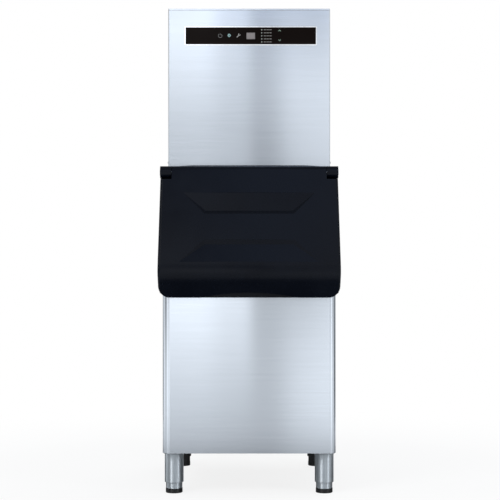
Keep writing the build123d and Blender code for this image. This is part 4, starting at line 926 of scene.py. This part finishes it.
def levels(tree, degrees, height, rows, span):
    """Brightness by direction at each row's height, carried smoothly from a height to the next."""
    place = arithmetic(tree, "ADD", arithmetic(tree, "DIVIDE", degrees, span), 0.5)
    curves = [ramp(tree, place, to_places(stops, span)) for _, stops in rows]
    heights = [row[0] for row in rows]
    level = curves[0]
    for below, here, curve in zip(heights, heights[1:], curves[1:]):
        level = mix(tree, carry(tree, height, below, here), level, curve)
    return level


def wall_glow():
    """Light of the studio's wall by direction and height, cooler high up towards the camera."""
    glow = Glow("studio_wall")
    tree = glow.tree
    x, y, height = split(tree, object_place(tree))
    turn = arithmetic(tree, "ARCTAN2", x, arithmetic(tree, "MULTIPLY", y, -1.0))
    degrees = arithmetic(tree, "MULTIPLY", turn, math.degrees(1))
    around = levels(tree, degrees, height, drum_around, full_turn)
    ahead = levels(tree, degrees, height, drum_ahead, 2 * ahead_half)
    off = arithmetic(tree, "ABSOLUTE", degrees, 0.0)
    level = mix(tree, carry(tree, off, ahead_half - ahead_blend, ahead_half), ahead, around)
    glow.set("Strength", arithmetic(tree, "MULTIPLY", level, brightest))
    high = carry(tree, height, upper_start, upper_full)
    near = carry(tree, off, cool_half, ahead_half, 1.0, 0.0)
    cool = arithmetic(tree, "MULTIPLY", high, near)
    glow.set("Color", mix(tree, cool, opaque(drum_colour), opaque(upper_colour), "RGBA"))
    return glow.material


def mat_glow():
    """Light of the studio's floor by its distance from the machine's middle."""
    glow = Glow("studio_mat")
    tree = glow.tree
    place = arithmetic(tree, "DIVIDE", distance(tree, object_place(tree)), mat_radius)
    level = ramp(tree, place, [(reach / mat_radius, brightness) for reach, brightness in mat_rings])
    glow.set("Strength", arithmetic(tree, "MULTIPLY", level, brightest))
    return glow.material


def ceiling_glow():
    """Dim light, the same all over."""
    glow = Glow("studio_ceiling")
    glow.set("Strength", ceiling_light)
    return glow.material


def circle(radius, height):
    """Corners of a level circle round the machine."""
    turns = [math.tau * side / drum_sides for side in range(drum_sides)]
    return [(radius * math.sin(turn), radius * math.cos(turn), height) for turn in turns]


def gloss_sheet(name, corners, faces, material):
    """A sheet of the stage that only glossy surfaces see."""
    sheet = stage_sheet(name, corners, faces, material)
    sheet.visible_camera = False
    sheet.visible_diffuse = False
    sheet.visible_shadow = False
    sheet.visible_transmission = False


def reflections():
    """The studio as the gloss of the machine sees it: wall, floor and ceiling."""
    walls = []
    for side in range(drum_sides):
        after = (side + 1) % drum_sides
        walls.append((side, after, drum_sides + after, drum_sides + side))
    disc = [tuple(range(drum_sides))]
    top = circle(drum_radius, drum_height)
    gloss_sheet("drum", circle(drum_radius, 0.0) + top, walls, wall_glow())
    gloss_sheet("mat", circle(mat_radius, mat_lift), disc, mat_glow())
    gloss_sheet("ceiling", top, disc, ceiling_glow())


def lamps():
    """Key lamp from the upper left, fill from the right and a lamp from behind."""
    for name, place, aim, size, watts, colour in studio_lamps:
        data = bpy.data.lights.new(name, "AREA")
        data.shape = "RECTANGLE"
        data.size, data.size_y = size
        data.energy = watts
        data.color = colour
        made = bpy.data.objects.new(name, data)
        made.location = place
        made.rotation_euler = (Vector(aim) - Vector(place)).to_track_quat("-Z", "Y").to_euler()
        bpy.context.scene.collection.objects.link(made)


def camera():
    """The photograph's camera."""
    data = bpy.data.cameras.new("photo_camera")
    data.lens = lens_mm
    data.sensor_width = sensor_mm
    data.shift_x = camera_shift_x
    data.shift_y = camera_shift_y
    made = bpy.data.objects.new("photo_camera", data)
    made.location = (0, camera_y, camera_z)
    made.rotation_euler = (math.radians(90), 0, 0)
    bpy.context.scene.collection.objects.link(made)
    bpy.context.scene.camera = made


def main():
    """Dress the machine and set the studio round it."""
    bpy.context.scene.view_settings.view_transform = "Standard"
    materials = slot_finishes()
    dress_nodes(materials)
    power()
    diamond()
    tool()
    arrows()
    dashes()
    screws(materials["pin_steel"])
    world()
    floor()
    reflections()
    lamps()
    camera()


main()
